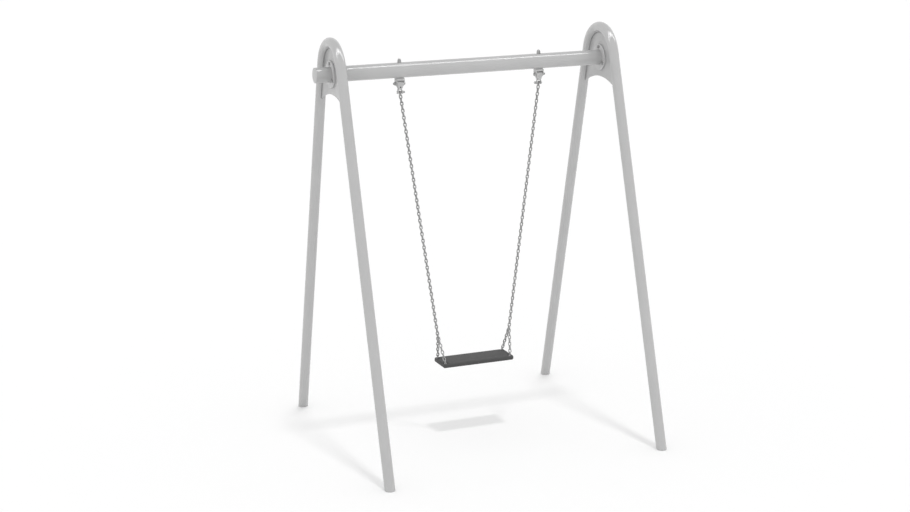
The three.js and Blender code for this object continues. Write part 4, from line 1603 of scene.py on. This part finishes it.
    def pin(self) -> Workpiece:
        """The shackle's screw pin, with its collar and its eyed tab on the inner side.

        Returns:
            The pin.
        """
        side = self.foot_half + self.ear_width / 2
        collar = side + FIT_GAP
        end = collar + self.collar_width
        inner, outer = self.pin_radius, self.collar_radius
        tip, edge = self.pin_tip, self.pin_chamfer
        profile = [(0.0, -side), (inner - tip, -side), (inner, tip - side), (inner, collar), (outer, collar),
                   (outer, end - edge), (outer - edge, end), (0.0, end)]
        pin = Workpiece.turned(profile, Axis.X, SMALL_SIDES)
        middle = Vector((end + self.tab_radius / 2, 0, 0))
        tab = Workpiece.bar(self.tab_radius, self.tab_thickness, Axis.Y, middle)
        eye = middle + Vector((self.tab_hole_shift, 0, 0))
        pin.grow(tab.round_edges(self.tab_rounding, steps=3))
        pin.cut(Workpiece.bar(self.tab_hole, 2 * self.tab_thickness, Axis.Y, eye))
        return pin.put(shift(z=-self.pin_drop))


@dataclass
class Suspension(SubAssembly):
    """One side's chains: the upper chain, the fork link, and the two short chains down to the seat."""

    layout: Layout
    side: Side
    pin_drop: float = 50.5
    pitch: float = 20.78
    bite: float = 0.3
    upper_wire: float = 3.5
    upper_width: float = 21.6
    upper_links: int = 72
    first_rise: float = 7.5
    fork_wire: float = 3.5
    fork_length: float = 23.5
    fork_width: float = 27.4
    fork_drop: float = 8.2
    seat_wire: float = 3.0
    seat_width: float = 20.5
    seat_links: int = 8
    seat_link_offset: float = 3.3
    eye_spacing: float = 130.0
    loop_hold: float = 5.8
    section_sides: int = 8
    bend_steps: int = 3
    smooth: float = 75.0

    def crowns(self, wire: float) -> float:
        """Distance between the middles of a hanging link's two crowns, from its wire's radius."""
        return self.pitch + 2 * wire - self.bite

    @property
    def run(self) -> Vector:
        """The way from the shackle's pin down to where the short chains turn, across the beam's plane."""
        drop = self.layout.pivot_height - self.pin_drop - self.layout.fork_height
        return Vector((self.layout.hanger_x - self.layout.fork_x, 0.0, drop))

    @property
    def origin(self) -> Matrix:
        """The place of the shackle's pin, turned so that the chain hangs straight down.

        Returns:
            The place.
        """
        height = self.layout.pivot_height - self.pin_drop
        place = shift(self.side.value * self.layout.hanger_x, 0, height) @ self.side.half_turn
        return place @ Matrix.Rotation(-math.atan2(self.run.x, self.run.z), 4, "Y")

    def link(self, wire: float, crowns: float, width: float) -> Workpiece:
        """A round-wire link across X, its middle at the origin.

        Args:
            wire: Its wire's radius.
            crowns: Distance between the middles of its crowns.
            width: Its outer width.

        Returns:
            The link.
        """
        half = width / 2 - wire
        run = Vector((0, 0, crowns - 2 * half))
        low = Vector((0, 0, -run.z / 2))
        turn = Vector((-1, 0, 0))
        rod = Rod(wire, self.section_sides, Vector((0, -half, 0)) + low, Vector((0, 0, 1)))
        rod.straight(run).bend(math.pi, -low, turn, self.bend_steps)
        rod.straight(-run).bend(math.pi, low, turn, self.bend_steps)
        return rod.done(capped=False)

    def chain(self, wire: float, width: float, rise: float, count: int, turns: int) -> Workpiece:
        """A chain that hangs down from the origin.

        Args:
            wire: Its wire's radius.
            width: Its links' outer width.
            rise: How far the first crown stands above the origin.
            count: How many links it has.
            turns: How many quarter turns its first link has.

        Returns:
            The chain.
        """
        rows = []
        for first in (0, 1):
            place = shift(z=rise - self.crowns(wire) / 2 - first * self.pitch)
            turn = Matrix.Rotation((first + turns) % 2 * math.pi / 2, 4, "Z")
            row = self.link(wire, self.crowns(wire) + self.bite, width).put(place @ turn)
            row.modify("ARRAY", count=(count + 1 - first) // 2, use_relative_offset=False,
                       use_constant_offset=True, constant_offset_displace=(0.0, 0.0, -2 * self.pitch))
            rows.append(row)
        return rows[0].gather(rows[1])

    def build(self) -> None:
        """Builds the chains and the fork link."""
        word = self.side.word
        moving = Body.suspension(self.side)
        upper = self.chain(self.upper_wire, self.upper_width, self.first_rise, self.upper_links, 0)
        reach = self.run.length
        fork = self.link(self.fork_wire, self.fork_length, self.fork_width)
        fork.put(shift(z=self.fork_length / 2 - reach - self.fork_drop))
        for piece, name, node in ((upper, "upper_chain", "chain"), (fork, "fork_link", "junction_link")):
            self.fit(piece, f"{name}_{word}", self.origin, moving, CHAIN_ZINC, f"{node}_{word}",
                     smooth=self.smooth)
        links = self.chain(self.seat_wire, self.seat_width, 0.0, self.seat_links, 1)
        length = self.crowns(self.seat_wire) + (self.seat_links - 1) * self.pitch - self.loop_hold
        splay = math.asin((self.eye_spacing / 2 - self.seat_link_offset) / length)
        for place in Place:
            towards = -self.side.value * place.value
            top = shift(y=towards * self.seat_link_offset, z=-reach)
            hang = self.origin @ top @ Matrix.Rotation(towards * splay, 4, "X")
            self.fit(links.copy(), f"lower_chain_{word}_{place.word}", hang, Body.SEAT, CHAIN_ZINC,
                     f"seat_chain_{word}_{place.word}", smooth=self.smooth)
        bpy.data.objects.remove(links.obj)


@dataclass
class Seat(SubAssembly):
    """The flat seat: a rubber pad moulded round a steel plate with four loops."""

    layout: Layout
    length: float = 455.0
    depth: float = 168.0
    thickness: float = 27.0
    corner_radius: float = 12.0
    edge_radius: float = 9.0
    end_zone: float = 38.0
    end_step: float = 1.5
    step_rounding: float = 0.7
    eye_length: float = 420.0
    eye_depth: float = 130.0
    plate_length: float = 443.0
    plate_depth: float = 150.0
    plate_thickness: float = 4.0
    plate_drop: float = 15.0
    plate_corner: float = 8.0
    loop_wire: float = 2.5
    loop_sides: int = 12
    loop_steps: int = 5
    loop_half: float = 7.5
    loop_bend: float = 4.0
    loop_drop: float = 2.0
    loop_root: float = 1.0
    pocket_room: float = 1.0
    pocket_reach: float = 15.0
    pocket_shift: float = 1.5
    pocket_corner: float = 3.0

    def build(self) -> None:
        """Builds the pad and the steel in it."""
        place = shift(z=self.layout.seat_top)
        self.fit(self.pad(), "seat_board", place, Body.SEAT, RUBBER, "seat_pad")
        self.fit(self.steel(), "seat_steel", place, Body.SEAT, ZINC, "seat_insert")

    def eyes(self) -> list[tuple[float, Place]]:
        """The X of each of the four loops, and whether it is in front or behind."""
        return [(side.value * self.eye_length / 2, place) for side in Side for place in Place]

    def plate(self, gap: float) -> Workpiece:
        """The steel plate, or the hollow round it.

        Args:
            gap: How much larger it is on every side.

        Returns:
            The plate.
        """
        size = (self.plate_length + 2 * gap, self.plate_depth + 2 * gap, self.plate_thickness + 2 * gap)
        middle = Vector((0, 0, -self.plate_drop - self.plate_thickness / 2))
        return Workpiece.block(size, middle).round_upright_edges(self.plate_corner, steps=4)

    def pad(self) -> Workpiece:
        """The rubber pad with its lower end zones and its four pockets.

        Returns:
            The pad.
        """
        pad = Workpiece.block((self.length, self.depth, self.thickness), Vector((0, 0, -self.thickness / 2)))
        pad.round_upright_edges(self.corner_radius, steps=8)
        pad.round_edges(self.edge_radius, steps=6, angle=60.0)
        for side in Side:
            middle = Vector((side.value * self.length / 2, 0, 0))
            step = Workpiece.block((2 * self.end_zone, 2 * self.depth, 2 * self.end_step), middle)
            pad.cut(step.round_edges(self.step_rounding))
        pocket = 2 * (self.loop_half + self.loop_wire + self.pocket_room)
        for x, place in self.eyes():
            middle = Vector((x, place.value * (self.eye_depth / 2 - self.pocket_shift), 0))
            hollow = Workpiece.block((pocket, 2 * self.pocket_reach, 2 * self.plate_drop), middle)
            pad.cut(hollow.round_upright_edges(self.pocket_corner, steps=4))
        return pad.cut(self.plate(FIT_GAP))

    def steel(self) -> Workpiece:
        """The steel plate with its four upright loops.

        Returns:
            The plate with its loops.
        """
        steel = self.plate(0.0)
        quarter = math.pi / 2
        turn = Vector((0, 1, 0))
        bend = self.loop_bend
        root = -self.plate_drop - self.loop_root
        shoulder = -self.loop_drop - bend
        up = Vector((0, 0, shoulder - root))
        for x, place in self.eyes():
            y = place.value * self.eye_depth / 2
            start = Vector((x - self.loop_half, y, root))
            rod = Rod(self.loop_wire, self.loop_sides, start, Vector((0, 0, 1)))
            centre = Vector((x - self.loop_half + bend, y, shoulder))
            span = Vector((2 * (self.loop_half - bend), 0, 0))
            rod.straight(up).bend(quarter, centre, turn, self.loop_steps)
            rod.straight(span).bend(quarter, centre + span, turn, self.loop_steps).straight(-up)
            steel.grow(rod.done(capped=True))
        return steel


@dataclass
class Studio:
    """The pale floor, the soft light and the camera. Lengths are in metres here."""

    camera_at: tuple[float, float, float] = (-3.9264, -9.8028, 3.5684)
    yaw: float = 0.371
    pitch: float = 0.232
    roll: float = -0.016
    lens_mm: float = 71.782
    sensor_mm: float = 36.0
    sight: float = 500.0
    floor_radius: float = 90.0
    floor_sides: int = 96
    floor_colour: float = 0.9
    floor_glow: float = 0.06
    horizon: float = 1.6
    zenith: float = 0.5
    sun_strength: float = 0.6
    sun_degrees: float = 5.5
    sun_from: tuple[float, float, float] = (0.049, -0.197, 1.0)
    strip_watts: float = 580.0
    strip_length: float = 14.0
    strip_width: float = 1.2
    strip_at: tuple[float, float, float] = (0.0, -0.65, 6.2)
    strip_aim: tuple[float, float, float] = (0.0, 0.0, 2.2)

    def build(self) -> None:
        """Builds the whole studio."""
        self.camera()
        self.world()
        self.floor()
        sun = bpy.data.lights.new("overhead_lamp", "SUN")
        sun.energy = self.sun_strength
        sun.angle = math.radians(self.sun_degrees)
        self.hang(sun, Vector(self.sun_from), Vector())
        strip = bpy.data.lights.new("strip_lamp", "AREA")
        strip.shape = "RECTANGLE"
        strip.size, strip.size_y = self.strip_length, self.strip_width
        strip.energy = self.strip_watts
        lamp = self.hang(strip, Vector(self.strip_at), Vector(self.strip_aim))
        lamp.visible_diffuse = False
        bpy.context.scene.view_settings.view_transform = "Standard"

    def camera(self) -> None:
        """Sets the camera where the picture was taken from."""
        level = math.cos(self.pitch)
        ahead = Vector((math.sin(self.yaw) * level, math.cos(self.yaw) * level, -math.sin(self.pitch)))
        right = Vector((math.cos(self.yaw), -math.sin(self.yaw), 0.0))
        up = right.cross(ahead)
        across = math.cos(self.roll) * right + math.sin(self.roll) * up
        upward = -math.sin(self.roll) * right + math.cos(self.roll) * up
        turn = Matrix((across, upward, -ahead)).transposed().to_4x4()
        data = bpy.data.cameras.new("camera")
        data.lens = self.lens_mm
        data.sensor_width = self.sensor_mm
        data.clip_end = self.sight
        camera = bpy.data.objects.new("camera", data)
        camera.matrix_world = Matrix.Translation(self.camera_at) @ turn
        bpy.context.scene.collection.objects.link(camera)
        bpy.context.scene.camera = camera

    def seen_mask(self, tree: bpy.types.NodeTree) -> Socket:
        """A value that is 1 where the camera sees a surface itself, mirrored or through glass.

        Args:
            tree: The node tree to add to.

        Returns:
            The value.
        """
        path = tree.nodes.new("ShaderNodeLightPath")
        total = path.outputs["Is Camera Ray"]
        for name in ("Is Glossy Ray", "Is Transmission Ray"):
            either = tree.nodes.new("ShaderNodeMath")
            either.operation = "MAXIMUM"
            tree.links.new(total, either.inputs[0])
            tree.links.new(path.outputs[name], either.inputs[1])
            total = either.outputs["Value"]
        return total

    def world(self) -> None:
        """Lights the scene softly, more from the sides than from above. The camera sees plain white there."""
        world = bpy.data.worlds.new("studio")
        world.use_nodes = True
        tree = world.node_tree
        background = tree.nodes["Background"]
        background.inputs["Color"].default_value = (1, 1, 1, 1)
        direction = tree.nodes.new("ShaderNodeTexCoord")
        split = tree.nodes.new("ShaderNodeSeparateXYZ")
        tree.links.new(direction.outputs["Generated"], split.inputs["Vector"])
        fall = tree.nodes.new("ShaderNodeMapRange")
        fall.inputs["To Min"].default_value = self.horizon
        fall.inputs["To Max"].default_value = self.zenith
        tree.links.new(split.outputs["Z"], fall.inputs["Value"])
        blend = tree.nodes.new("ShaderNodeMix")
        blend.inputs["B"].default_value = 1.0
        tree.links.new(fall.outputs["Result"], blend.inputs["A"])
        tree.links.new(self.seen_mask(tree), blend.inputs["Factor"])
        tree.links.new(blend.outputs["Result"], background.inputs["Strength"])
        bpy.context.scene.world = world

    def floor(self) -> None:
        """Lays a round white floor that keeps the soft shadows."""
        Workpiece.clear_bench()
        bpy.ops.mesh.primitive_circle_add(vertices=self.floor_sides, radius=self.floor_radius, fill_type="NGON")
        floor = bpy.context.active_object
        floor.name = "studio_floor"
        material = bpy.data.materials.new("studio_floor")
        material.use_nodes = True
        tree = material.node_tree
        shader = tree.nodes["Principled BSDF"]
        shader.inputs["Base Color"].default_value = (*[self.floor_colour] * 3, 1)
        shader.inputs["Roughness"].default_value = 1.0
        shader.inputs["Specular IOR Level"].default_value = 0.0
        shader.inputs["Emission Color"].default_value = (1, 1, 1, 1)
        glow = tree.nodes.new("ShaderNodeMath")
        glow.operation = "MULTIPLY"
        glow.inputs[1].default_value = self.floor_glow
        tree.links.new(self.seen_mask(tree), glow.inputs[0])
        tree.links.new(glow.outputs["Value"], shader.inputs["Emission Strength"])
        floor.data.materials.append(material)

    def hang(self, data: bpy.types.Light, at: Vector, towards: Vector) -> bpy.types.Object:
        """Hangs a lamp.

        Args:
            data: The lamp's light.
            at: Its place.
            towards: The point that it faces.

        Returns:
            The lamp.
        """
        lamp = bpy.data.objects.new(data.name, data)
        facing = (towards - at).to_track_quat("-Z", "Y").to_matrix().to_4x4()
        lamp.matrix_world = Matrix.Translation(at) @ facing
        bpy.context.scene.collection.objects.link(lamp)
        return lamp


def main() -> None:
    """Builds the swing set in order, from the studio to the seat."""
    logging.basicConfig(level=logging.INFO, format="%(name)s %(message)s")
    Studio().build()
    layout = Layout.read()
    CrossBeam(layout).build()
    for side in Side:
        EndFrame(layout, side).build()
        Hanger(layout, side).build()
        Suspension(layout, side).build()
    Seat(layout).build()


if __name__ == "__main__":
    main()
